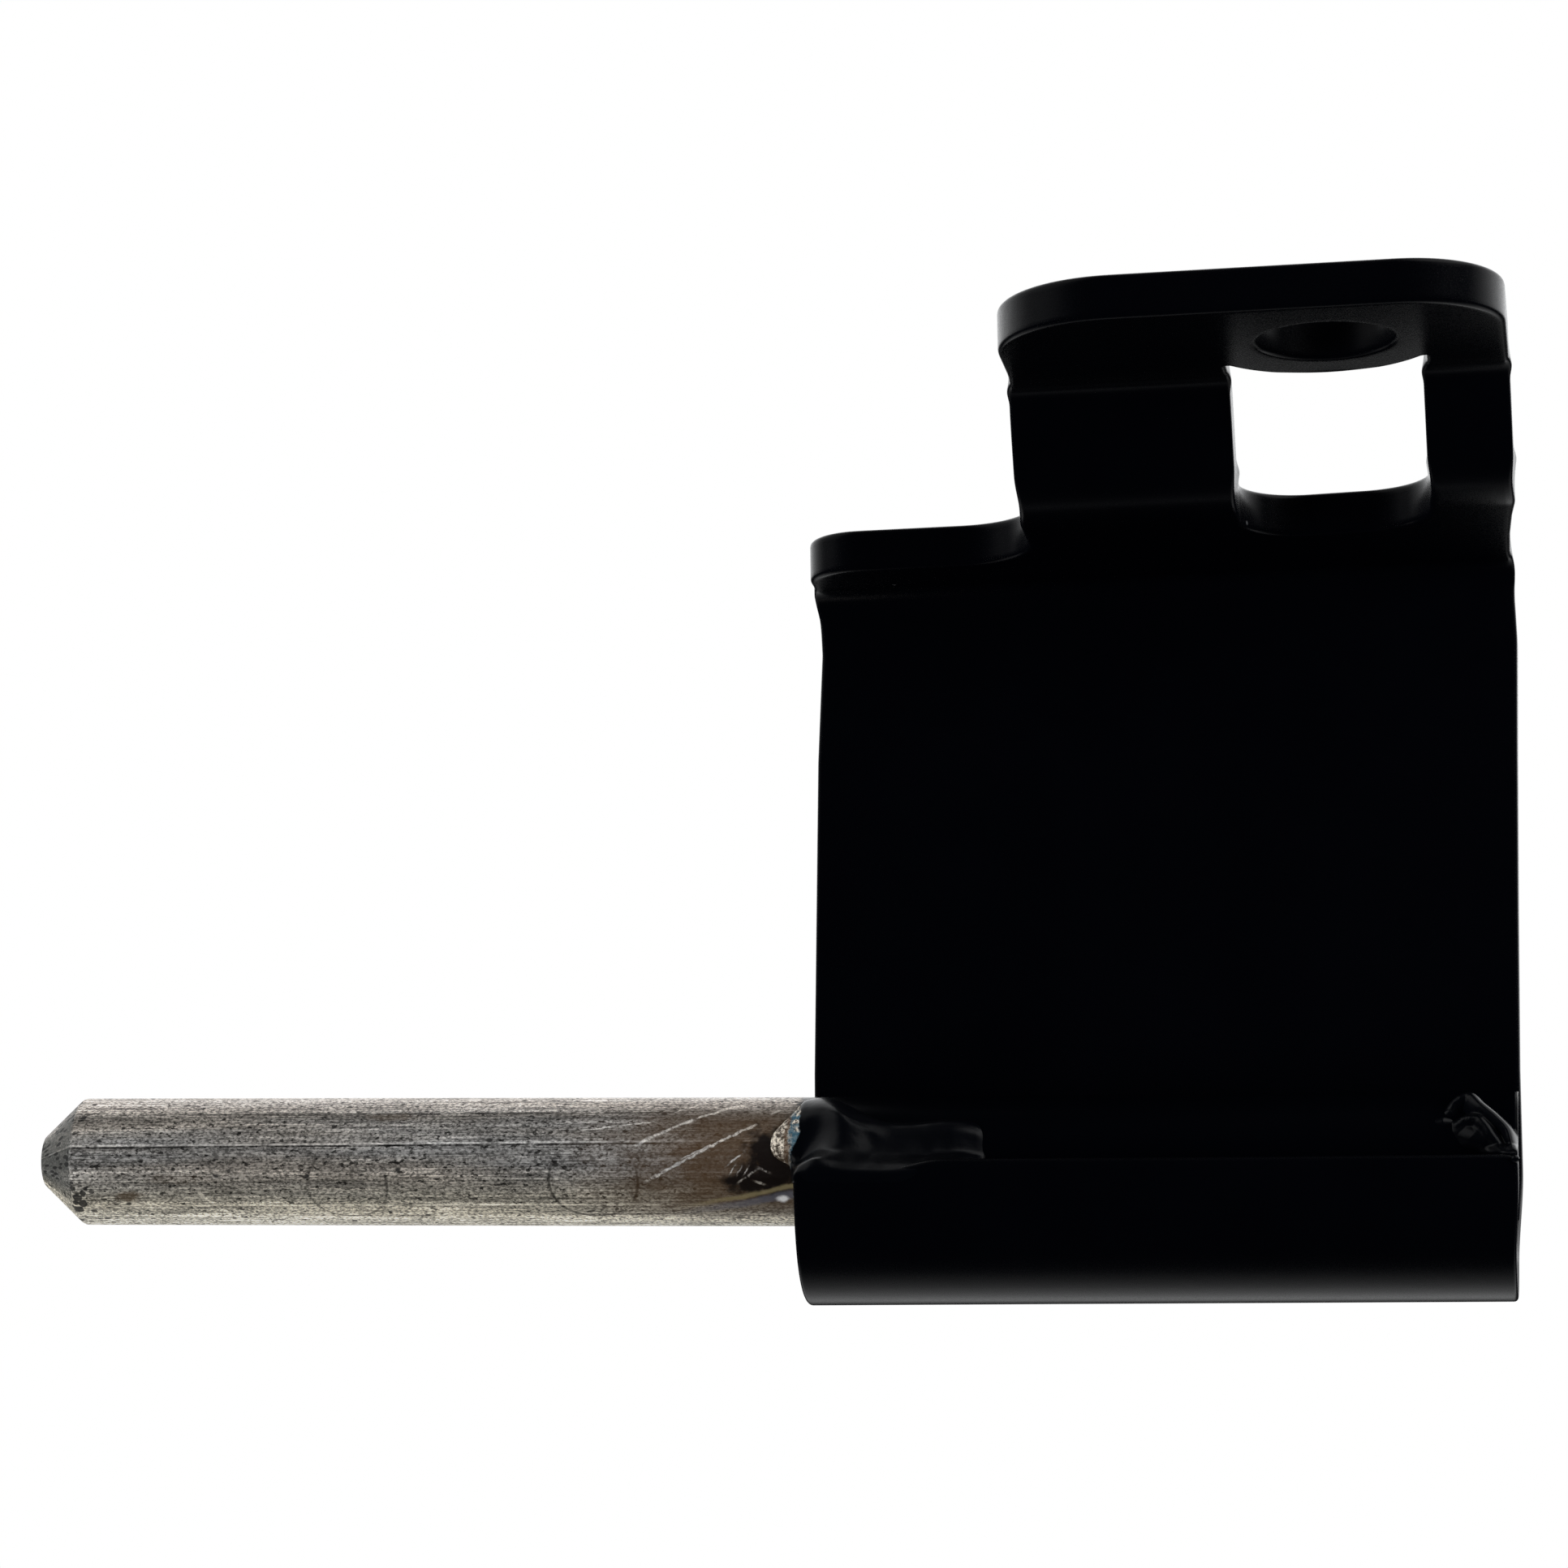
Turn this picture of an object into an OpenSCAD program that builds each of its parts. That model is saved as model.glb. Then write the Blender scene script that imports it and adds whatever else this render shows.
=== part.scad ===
// Hinge pin bracket: one half of a lift-off hinge.
//
// One formed steel sheet is rolled into an open eye along its lower edge. A round steel pin lies in the
// mouth of the eye and sticks out to the left, held by a weld at each end. The upper edge of the sheet
// is bent out into a ledge, and the right part of the ledge goes on as an offset tab, with a window and
// a flange with one bolt hole.
//
// The origin is on the pin's axis, at the inner end of the bare stretch that a mating eye turns on. +X
// runs along the pin into the eye, +Y runs from the front to the back of the plate, and +Z runs up the
// plate.

/* [Sheet] */
// Thickness of the sheet with its coating
sheet_t = 5.3; // [4:0.1:6]
// Width of the plate, along the pin
plate_w = 88.2; // [84:0.2:96]
// Inside radius of the three upper bends
bend_r = 3; // [2:0.5:4]

/* [Pin] */
// Diameter of the pin
pin_d = 16; // [14:0.5:18]
// Length of the pin outside the eye
pin_free = 97.5; // [60:0.5:140]
// Length of the pin between the bare stretch and the eye, which the weld's toe takes up
weld_toe = 5.5; // [5:0.5:10]
// Thickness of the coating on the pin at its inner end, which it reaches evenly from the bare stretch
pin_coat = 0.05; // [0.02:0.01:0.05]
// Width of the 45 degree chamfer on the pin's free end
pin_chamfer = 5.2; // [1:0.1:6]
// Distance from the pin's inner end to the right end of the eye
pin_inset = 1.2; // [0.5:0.1:3]
// Gap between the pin and the sheet on each side of the mouth
pin_play = 0.1; // [0.1:0.05:0.3]

/* [Eye] */
// Depth of the eye's outer bottom below the pin's axis
eye_drop = 18; // [17:0.5:20]
// Outer radius of the eye's gently curved sides
eye_side_r = 24.4; // [22:0.2:28]
// Distance from the pin's axis down to the top of the lip
lip_drop = 1.2; // [0.5:0.1:3]

/* [Ledge] */
// Height of the ledge's underside above the pin's axis
ledge_h = 73.5; // [68:0.5:80]
// Distance from the plate's front face to the ledge's free edge
ledge_reach = 13.4; // [12:0.2:16]
// Radius of the ledge's outer corner
ledge_corner_r = 7; // [4:0.5:9]
// Radius of the inner corner between the ledge and the tab
tab_fillet_r = 8; // [3:0.5:9]

/* [Tab] */
// Angle between the upper bend lines and the pin
tab_skew = 1.299; // [1.299:0.03:1.329]
// Left side of the tab, along the bend lines
tab_left = 31.7; // [28:0.1:36]
// Width of the tab
tab_w = 59.2; // [56:0.1:60]
// Distance from the plate's front face to the foot of the offset wall
wall_reach = 36.6; // [34:0.2:40]
// Angle by which the offset wall leans forward
wall_lean = 24; // [15:1:32]
// Height of the flange's underside above the pin's axis
flange_h = 87.8; // [85:0.2:96]
// Distance from the plate's front face to the flange's free edge
flange_reach = 72.6; // [70:0.2:80]
// Radius of the flange's left corner
flange_left_r = 17; // [8:0.5:20]
// Radius of the flange's right corner
flange_right_r = 14.5; // [8:0.5:20]

/* [Hole and window] */
// Diameter of the bolt hole in the flange
hole_d = 16; // [12:0.5:18]
// Place of the hole along the bend lines
hole_s = 70.1; // [66:0.1:72]
// Distance from the plate's front face to the centre of the hole
hole_reach = 57.6; // [56:0.2:60]
// Radius of the rounded land that is left round the hole
land_r = 13.2; // [12.5:0.1:14]
// Left side of the window, along the bend lines
window_left = 57.5; // [57:0.1:58.5]
// Width of the window
window_w = 23.5; // [20:0.1:24]
// Distance from the plate's front face to the window's lower edge
window_reach = 21.1; // [19:0.1:24]
// Radius of the window's two lower corners
window_corner_r = 7; // [2:0.5:8]

/* [Welds] */
// Radius of the round bead between the lip and the left end of the pin
left_bead_r = 4.8; // [3:0.1:5]
// Length of the left bead's straight stretch
left_bead_len = 19; // [4:1:30]
// Radius of the round bead between the lip and the right end of the pin
right_bead_r = 4.2; // [3:0.1:5]
// Length of the right bead's straight stretch
right_bead_len = 3; // [1:0.5:10]
// Distance from the left end of the eye to the weld over the top of the pin
saddle_inset = 2.5; // [0:0.5:6]
// Length of the weld over the top of the pin at each end
saddle_len = 6.5; // [3:0.5:12]
// Thickness of the weld over the top of the pin
saddle_t = 0.4; // [0.3:0.1:1]

/* [Hidden] */
$fn = 96;

// Places that follow from the sizes above
pin_r = pin_d / 2;
plate_y = pin_r + pin_play;
eye_half = plate_y + sheet_t;
bend_out_r = bend_r + sheet_t;
tab_right = tab_left + tab_w;
window_right = window_left + window_w;
wall_turn = 90 - wall_lean;
bend_top = ledge_h - bend_r;

// Along the bend lines, the plate's two side edges at the height of the ledge
ledge_left = ledge_h * sin(tab_skew);
ledge_right = plate_w * cos(tab_skew) + ledge_left;

// The eye's outline is two side arcs and one bottom arc, which meet smoothly
side_offset = eye_side_r - eye_half;
side_excess = eye_side_r - eye_drop;
bottom_drop = (side_offset ^ 2 - side_excess ^ 2) / (2 * side_excess);
bottom_r = eye_drop - bottom_drop;
side_angle = atan2(bottom_drop, side_offset);
lip_angle = asin(lip_drop / eye_side_r);

// The offset wall: the corners of its front face before rounding, and its rounding lengths
wall_top = wall_reach + (flange_h - ledge_h) * tan(wall_lean);
foot_cut = bend_out_r * tan(wall_turn / 2);
head_cut = bend_r * tan(wall_turn / 2);

// Height where the two halves of the plate meet, and how far below it the upper section is drawn, so
// that the skewed upper half can be cut off level there
plate_joint = 0.75 * ledge_h;
joint_lap = 10;

// Lengths that only have to reach past the part
over = 1;
past = 200;

// Straight pieces that one bend's outline is made of
arc_steps = 16;

// Points along an arc between two angles
function arc(centre, r, from, to) = [
    for (i = [0:arc_steps])
        let (a = from + (to - from) * i / arc_steps)
            centre + r * [cos(a), sin(a)]
];

// One face of the eye, from the lip round the bottom to the back, shrunk from the outer face by inset
function eye_face(inset) = concat(
    arc([side_offset, 0], eye_side_r - inset, 180 + lip_angle, 180 + side_angle),
    arc([0, -bottom_drop], bottom_r - inset, 180 + side_angle, 360 - side_angle),
    arc([-side_offset, 0], eye_side_r - inset, -side_angle, 0)
);

// One face of the upper bends, from the plate to the flange: bends one and three have the first
// radius and the foot of the wall, which turns the other way, has the second
function upper_face(outer_turn_r, foot_turn_r) = concat(
    arc([bend_r, bend_top], outer_turn_r, 180, 90),
    arc([wall_reach - foot_cut, ledge_h + bend_out_r], foot_turn_r, -90, -wall_lean),
    arc([wall_top + head_cut, flange_h - bend_r], outer_turn_r, 180 - wall_lean, 90)
);

function reversed(points) = [for (i = [len(points) - 1:-1:0]) points[i]];

// Section of the eye and the plate, drawn with Y to the right and Z up
module eye_section() {
    polygon(concat(
        eye_face(0),
        [[eye_half, plate_joint], [plate_y, plate_joint]],
        reversed(eye_face(sheet_t))
    ));
}

// Section of the plate and the upper bends, drawn with the distance in front of the plate to the
// right and Z up
module upper_section() {
    polygon(concat(
        [[0, plate_joint - joint_lap]],
        upper_face(bend_r, bend_out_r),
        [[flange_reach, flange_h], [flange_reach, flange_h + sheet_t]],
        reversed(upper_face(bend_out_r, bend_r)),
        [[-sheet_t, plate_joint - joint_lap]]
    ));
}

// A rectangle with its own radius on each of its two far corners
module far_rounded(size, left_r, right_r) {
    difference() {
        square(size);
        translate([-over, size.y - left_r]) square([left_r + over, left_r + over]);
        translate([size.x - right_r, size.y - right_r])
            square([right_r + over, right_r + over]);
    }
    translate([left_r, size.y - left_r])
        intersection() {
            circle(r = left_r);
            translate([-left_r, 0]) square(left_r);
        }
    translate([size.x - right_r, size.y - right_r])
        intersection() {
            circle(r = right_r);
            square(right_r);
        }
}

// The window: two rounded lower corners, and an upper edge that follows the land round the hole
module window_outline() {
    difference() {
        translate([window_right, hole_reach]) rotate(180)
            far_rounded([window_w, hole_reach - window_reach], window_corner_r, window_corner_r);
        translate([hole_s, hole_reach]) circle(r = land_r);
    }
}

// The ledge and the tab seen from above: the bend lines run to the right, the front is up
module upper_plan() {
    back = sheet_t + over;
    difference() {
        union() {
            translate([ledge_left, 0])
                far_rounded([tab_left - ledge_left + over, ledge_reach], ledge_corner_r, over / 2);
            translate([tab_left, 0])
                far_rounded([tab_w, flange_reach], flange_left_r, flange_right_r);
            translate([-past / 2, -back]) square([2 * past, back]);
            translate([tab_left - tab_fillet_r, ledge_reach])
                difference() {
                    translate([0, -over]) square(tab_fillet_r + over);
                    translate([0, tab_fillet_r]) circle(r = tab_fillet_r);
                    translate([-over, tab_fillet_r]) square(tab_fillet_r + 3 * over);
                }
        }
        polygon([
            [ledge_right, 0],
            [tab_right, wall_reach - foot_cut],
            [tab_right + over, wall_reach - foot_cut],
            [tab_right + over, 0]
        ]);
        window_outline();
        translate([hole_s, hole_reach]) circle(d = hole_d);
    }
}

// The upper bends and the top of the plate, turned by the skew about the origin
module upper_part() {
    intersection() {
        rotate([0, -tab_skew, 0]) translate([0, plate_y, 0])
            intersection() {
                rotate([90, 0, 90]) translate([0, 0, -past / 2]) linear_extrude(2 * past)
                    mirror([1, 0]) upper_section();
                mirror([0, 1, 0]) linear_extrude(past) upper_plan();
            }
        union() {
            translate([0, plate_y, plate_joint]) cube([plate_w, sheet_t + over, past]);
            translate([0, plate_y - past, plate_joint]) cube([past, past, past]);
        }
    }
}

// The eye and most of the plate
module lower_part() {
    rotate([90, 0, 90]) linear_extrude(plate_w) eye_section();
}

module bracket_plate() {
    color([0.03, 0.03, 0.035])
        union() {
            lower_part();
            upper_part();
        }
}

// The pin lies along X: a chamfer, the bare stretch, and the stretch that the welds hold, which its
// coating makes very slightly tapered
module pin_solid() {
    bare_len = pin_free - pin_chamfer - weld_toe;
    coated_len = weld_toe + plate_w - pin_inset;
    translate([-pin_free, 0, 0]) rotate([0, 90, 0]) {
        cylinder(h = pin_chamfer, r1 = pin_r - pin_chamfer, r2 = pin_r);
        translate([0, 0, pin_chamfer]) cylinder(h = bare_len, r = pin_r);
        translate([0, 0, pin_chamfer + bare_len])
            cylinder(h = coated_len, r1 = pin_r, r2 = pin_r + pin_coat);
    }
}

module hinge_pin() {
    color([0.55, 0.52, 0.47]) pin_solid();
}

// The bead that fills the corner between the lip's top and the front of the pin, with round ends
module front_bead(from, length, bead_r) {
    translate([from, bead_r - eye_half, 0]) {
        rotate([0, 90, 0]) cylinder(h = length, r = bead_r);
        sphere(r = bead_r);
        translate([length, 0, 0]) sphere(r = bead_r);
    }
}

// The weld over the top of the pin, which fills the groove between the pin and the plate
module saddle(from) {
    crown_r = pin_r + saddle_t;
    translate([from, 0, 0]) {
        rotate([0, 90, 0]) cylinder(h = saddle_len, r = crown_r);
        cube([saddle_len, plate_y, crown_r]);
    }
}

// Keeps what lies above the lip's top and in front of the plate, and leaves the pin's own room
module weld_trim() {
    difference() {
        intersection() {
            children();
            translate([-past / 2, plate_y - past, -lip_drop]) cube([2 * past, past, past]);
        }
        rotate([0, 90, 0]) translate([0, 0, -past / 2]) cylinder(h = 2 * past, r = pin_r + pin_coat);
        lower_part();
    }
}

module weld_left() {
    color([0.05, 0.05, 0.055])
        weld_trim() {
            front_bead(0, left_bead_len, left_bead_r);
            saddle(saddle_inset);
        }
}

module weld_right() {
    pin_end = plate_w - pin_inset;
    color([0.05, 0.05, 0.055])
        weld_trim() {
            front_bead(pin_end - right_bead_len - right_bead_r, right_bead_len, right_bead_r);
            saddle(pin_end - saddle_len);
        }
}

// Moves a piece from the eye's left end, where it is drawn, to its place from the origin
module placed() {
    translate([weld_toe, 0, 0]) children();
}

placed() bracket_plate();
placed() hinge_pin();
placed() weld_left();
placed() weld_right();
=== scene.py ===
"""Looks of the hinge pin bracket: a formed black sheet, a bare steel pin and its two welds."""

import math

import bpy
import numpy as np
from mathutils import Euler, Matrix, Vector
from mathutils.geometry import delaunay_2d_cdt


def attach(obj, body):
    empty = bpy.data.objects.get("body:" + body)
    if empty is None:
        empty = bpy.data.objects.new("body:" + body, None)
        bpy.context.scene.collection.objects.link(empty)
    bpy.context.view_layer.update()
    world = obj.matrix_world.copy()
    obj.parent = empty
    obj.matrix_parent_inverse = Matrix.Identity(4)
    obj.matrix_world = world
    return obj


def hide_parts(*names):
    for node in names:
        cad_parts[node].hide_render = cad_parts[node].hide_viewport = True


MM = 0.001

# The sheet, in millimetres from the pin's axis at the eye's left end
EYE_X = 5.5
SHEET_T = 5.3
HALF_T = SHEET_T / 2
PLATE_W = 88.2
PLATE_Y = 8.1
BEND_R = 3.0
MID_R = BEND_R + HALF_T
OUT_R = BEND_R + SHEET_T
SKEW = math.radians(1.299)
EYE_DROP = 18.0
EYE_SIDE_R = 24.4
LIP_DROP = 1.2
LEDGE_H = 73.5
LEDGE_REACH = 13.4
LEDGE_CORNER_R = 7.0
TAB_FILLET_R = 9.2
WALL_LEAN = math.radians(24)
WALL_REACH = 36.6
FLANGE_H = 87.8
FLANGE_REACH = 72.6
TAB_LEFT = 31.28
TAB_RIGHT = 90.95
FLANGE_LEFT = 32.0
FLANGE_LEFT_R = 14.4
FLANGE_RIGHT_R = 12.0
HOLE_R = 8.0
HOLE_S = 70.1
HOLE_D = 57.6
LAND_R = 14.5
LAND_S = 69.6
WINDOW_LEFT = 57.85
WINDOW_RIGHT = 80.75
WINDOW_REACH = 21.1
WINDOW_CORNER_R = 8.5
WINDOW_FLARE = 0.6

# The pin
PIN_R = 8.0
PIN_FREE = 97.5
PIN_CHAMFER = 5.2
PIN_END = PLATE_W - 0.4
PIN_TILT = 0.0080
PIN_TIP_R = 3.25
PIN_SIDES = 192
PIN_WEAR = 0.03
TIP_ROUND = 0.35
SHOULDER_ROUND = 0.7
ROUND_SHARE = 0.41

BEND_START = LEDGE_H - BEND_R
TURN = math.pi / 2 - WALL_LEAN
FOOT_D = WALL_REACH - OUT_R * math.tan(TURN / 2)
WALL_TOP = WALL_REACH + (FLANGE_H - LEDGE_H) * math.tan(WALL_LEAN)
HEAD_D = WALL_TOP + BEND_R * math.tan(TURN / 2)
EYE_HALF = PLATE_Y + SHEET_T
SIDE_OFFSET = EYE_SIDE_R - EYE_HALF
SIDE_EXCESS = EYE_SIDE_R - EYE_DROP
BOTTOM_DROP = (SIDE_OFFSET**2 - SIDE_EXCESS**2) / (2 * SIDE_EXCESS)
BOTTOM_R = EYE_DROP - BOTTOM_DROP
SIDE_ANGLE = math.atan2(BOTTOM_DROP, SIDE_OFFSET)
LIP_ANGLE = math.asin(LIP_DROP / EYE_SIDE_R)

# How far the plate's left and right edges lean from their nominal lines, by height
LEAN_Z = (-2, 12, 32, 52, 66, 76, 84, 93, 103, 112)
LEAN_LEFT = (0.0, -0.22, -0.15, -0.08, 0.35, -0.2, -0.1, 0.0, 0.0, 0.0)
LEAN_RIGHT = (0.0, -0.15, 0.0, 0.22, 0.42, 0.05, -0.3, -0.45, -0.35, 0.0)

# How forming and welding move the sheet's faces and edges
UPPER_SQUEEZE = 0.34
LEDGE_SQUEEZE = 0.4
LEFT_CURL = 0.42
LEFT_CURL_FACE = 0.16
RIGHT_CURL = 0.62
RIGHT_CURL_FALL = 0.45
LEDGE_RISE = 0.2
EYE_SQUASH = 0.989
EYE_SQUASH_RIGHT = 0.010
PLATE_WAVE = 0.10
LIP_MELT = 1.2
WINDOW_DROP = 0.9

# The sheet's edges and its mesh
EDGE_R = 0.6
RIM = 1.15
RIM_CLEAR = 0.9
ROUND_STEPS = 5
OUTLINE_STEP = 0.5
OUTLINE_SOFTEN = 0.6
HOLE_SOFTEN = 0.45
GRID = 2.5
BEND_STRETCH = 4.0

# The welds
BEAD_STEP = 0.22
BEAD_POINTS = 64
BEAD_BLUR = 0.9
BEAD_RIPPLE = 0.012
RIGHT_X = (76.0, 88.0)
RIGHT_ARC = (-16, 78)
RIGHT_STEP = 0.11
RIGHT_SINK = 0.45
RIGHT_MEAN_R = 8.5
RIGHT_INNER_R = 7.0
SPATTER_PLACE = (87.7 + EYE_X, -13.35, -1.75)
SPATTER_R = 0.5

COAT_ROUGH = 0.27
FLOOR_Z = -760.0
FLOOR_R = 30000.0
FLOOR_SIDES = 64
BOX_SIZE = 0.7
CAMERA_PLACE = (104.1049, -626.0462, -68.1875)
CAMERA_YAW = math.radians(9.2254)
CAMERA_PITCH = math.radians(10.3639)
CAMERA_ROLL = math.radians(0.5529)
CAMERA_SENSOR = 36.0
CAMERA_LENS = 117.3913


def trace(start, angle, moves, step=0.04):
    """Dense path of straights and arcs: rows of length, d, h and direction. A move is (length, turn)."""
    rows = [(0.0, start[0], start[1], angle)]
    for length, turn in moves:
        n = max(2, int(length / step))
        l0, d, h, a0 = rows[-1]
        for k in range(1, n + 1):
            a_mid = a0 + turn * (k - 0.5) / n
            if turn:
                chord = 2 * (length / abs(turn)) * math.sin(abs(turn) / n / 2)
            else:
                chord = length / n
            d += chord * math.cos(a_mid)
            h += chord * math.sin(a_mid)
            rows.append((l0 + length * k / n, d, h, a0 + turn * k / n))
    return np.array(rows)


WALL_LEN = math.hypot(
    HEAD_D - MID_R * math.cos(WALL_LEAN) - FOOT_D - MID_R * math.cos(WALL_LEAN),
    FLANGE_H - BEND_R + MID_R * math.sin(WALL_LEAN) - LEDGE_H - OUT_R + MID_R * math.sin(WALL_LEAN),
)
UP_MOVES = [
    (MID_R * math.pi / 2, -math.pi / 2),
    (FOOT_D - BEND_R, 0),
    (MID_R * TURN, TURN),
    (WALL_LEN, 0),
    (MID_R * TURN, -TURN),
    (FLANGE_REACH - HEAD_D, 0),
]
UP = trace((-HALF_T, BEND_START), math.pi / 2, UP_MOVES)
EYE_MOVES = [
    ((EYE_SIDE_R - HALF_T) * SIDE_ANGLE, SIDE_ANGLE),
    ((BOTTOM_R - HALF_T) * (math.pi - 2 * SIDE_ANGLE), math.pi - 2 * SIDE_ANGLE),
    ((EYE_SIDE_R - HALF_T) * (SIDE_ANGLE - LIP_ANGLE), SIDE_ANGLE - LIP_ANGLE),
]
DOWN = trace((-HALF_T, 0), -math.pi / 2, EYE_MOVES)
EYE_LEN = DOWN[-1, 0]
MARKS = np.cumsum([0] + [length for length, _ in UP_MOVES])
WIDE_MARKS = np.cumsum([0] + [length * (BEND_STRETCH if turn else 1) for length, turn in UP_MOVES])
BEND_1, BEND_FOOT, BEND_HEAD = (MARKS[0], MARKS[1]), (MARKS[2], MARKS[3]), (MARKS[4], MARKS[5])


def smoothstep(x, lo, hi):
    """Goes smoothly from 0 to 1 as x goes from lo to hi."""
    t = np.clip((np.asarray(x, float) - lo) / (hi - lo), 0, 1)
    return t * t * (3 - 2 * t)


def to_flat(s, h):
    """From along and across the upper bend lines to the flat pattern's plane, where z runs up the plate."""
    return s * math.cos(SKEW) - h * math.sin(SKEW), s * math.sin(SKEW) + h * math.cos(SKEW)


def from_flat(x, z):
    """From the flat pattern's plane to along and across the upper bend lines."""
    return x * math.cos(SKEW) + z * math.sin(SKEW), -x * math.sin(SKEW) + z * math.cos(SKEW)


def upper(s, d):
    """Flat place of a point on the upper bends, given its reach d in front of the plate."""
    return to_flat(s, BEND_START + float(np.interp(d, UP[:, 1], UP[:, 0])))


def hump(value, span):
    """Rises from 0 at one end of the span to 1 at its middle and falls to 0 at the other end."""
    t = np.clip((value - span[0]) / (span[1] - span[0]), 0, 1)
    return np.sin(math.pi * t) ** 2


def edge_pull(s, edge, reach):
    """1 at an edge of the sheet, falling to 0 at reach away from it."""
    away = np.abs(s - edge) / reach
    return np.clip(1 - away, 0, 1) ** 2


def formed(x, z, w):
    """Where points of the flat pattern go when the sheet is bent; w is from the mid surface to the front."""
    x, z, w = (np.asarray(v, float) for v in (x, z, w))
    s, h = from_flat(x, z)
    run = h - BEND_START
    up, down = run > 0, z < 0
    d_up = np.interp(run, UP[:, 0], UP[:, 1])
    h_up = np.interp(run, UP[:, 0], UP[:, 2])
    a_up = np.interp(run, UP[:, 0], UP[:, 3])
    d_up, h_up = d_up + w * np.sin(a_up), h_up - w * np.cos(a_up)
    d_dn = np.interp(-z, DOWN[:, 0], DOWN[:, 1])
    h_dn = np.interp(-z, DOWN[:, 0], DOWN[:, 2])
    a_dn = np.interp(-z, DOWN[:, 0], DOWN[:, 3])
    d_dn, h_dn = d_dn - w * np.sin(a_dn), h_dn + w * np.cos(a_dn)

    # Bending squeezes the inner side out past the edge and draws the outer side in
    inner = w / HALF_T
    side = np.zeros_like(x)
    sides = ((TAB_LEFT, -1, 7), (WINDOW_LEFT, 1, 4), (WINDOW_RIGHT, -1, 4), (TAB_RIGHT, 1, 7))
    for edge, sign, reach in sides:
        pull = sign * edge_pull(s, edge, reach)
        side += pull * UPPER_SQUEEZE * inner * (hump(run, BEND_HEAD) - hump(run, BEND_FOOT))
    for edge, sign in ((0.0, -1), (PLATE_W, 1)):
        near = sign * edge_pull(x, edge, 8)
        side += near * LEDGE_SQUEEZE * inner * hump(run, (BEND_1[0] - 2, BEND_1[1] + 2))
        if sign < 0:
            curl = smoothstep(-z, -3, 11) * (LEFT_CURL - LEFT_CURL_FACE * inner)
        else:
            curl = smoothstep(-z, 0, 12) * (RIGHT_CURL - RIGHT_CURL_FALL * smoothstep(-z, 28, 38))
        side -= near * curl
    left = np.interp(z, LEAN_Z, LEAN_LEFT)
    right = np.interp(z, LEAN_Z, LEAN_RIGHT)
    side += left + (right - left) * np.clip(x / PLATE_W, 0, 1)
    h_up = h_up + LEDGE_RISE * smoothstep(run, 0, BEND_1[1])
    h_dn = h_dn * (EYE_SQUASH - EYE_SQUASH_RIGHT * np.clip(x / PLATE_W, 0, 1))

    out = np.empty(x.shape + (3,))
    out[..., 0] = np.where(up, s * math.cos(SKEW) - h_up * math.sin(SKEW), x)
    out[..., 1] = PLATE_Y - np.where(up, d_up, np.where(down, d_dn, w - HALF_T))
    out[..., 2] = np.where(up, s * math.sin(SKEW) + h_up * math.cos(SKEW), np.where(down, h_dn, z))
    out[..., 0] += side

    # The press leaves the flats a little uneven
    plate = smoothstep(z, 2, 14) * (1 - smoothstep(h, BEND_START - 12, BEND_START - 2))
    out[..., 1] += plate * PLATE_WAVE * np.sin(x / 17 + 0.6) * np.cos(z / 21 - 0.4)
    return out


def arc(cx, cy, r, a0, a1, n=24):
    """Points along an arc, both of its ends with them."""
    return [
        (cx + r * math.cos(a0 + (a1 - a0) * k / n), cy + r * math.sin(a0 + (a1 - a0) * k / n))
        for k in range(n + 1)
    ]


def evenly(points, step):
    """A closed outline with points a step apart."""
    p = np.array(points, float)
    p = np.vstack([p, p[:1]])
    run = np.concatenate([[0], np.cumsum(np.hypot(*np.diff(p, axis=0).T))])
    n = int(round(run[-1] / step))
    at = np.arange(n) * run[-1] / n
    return np.c_[np.interp(at, run, p[:, 0]), np.interp(at, run, p[:, 1])]


def bell(reach, sigma, step):
    """Weights of a moving average over reach steps to each side."""
    weights = np.exp(-0.5 * (np.arange(-reach, reach + 1) * step / sigma) ** 2)
    return weights / weights.sum()


def softened(points, sigma, step):
    """Rounds an even closed outline's corners with a moving average."""
    k = int(4 * sigma / step)
    return sum(weight * np.roll(points, i, axis=0) for i, weight in enumerate(bell(k, sigma, step), -k))


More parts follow.
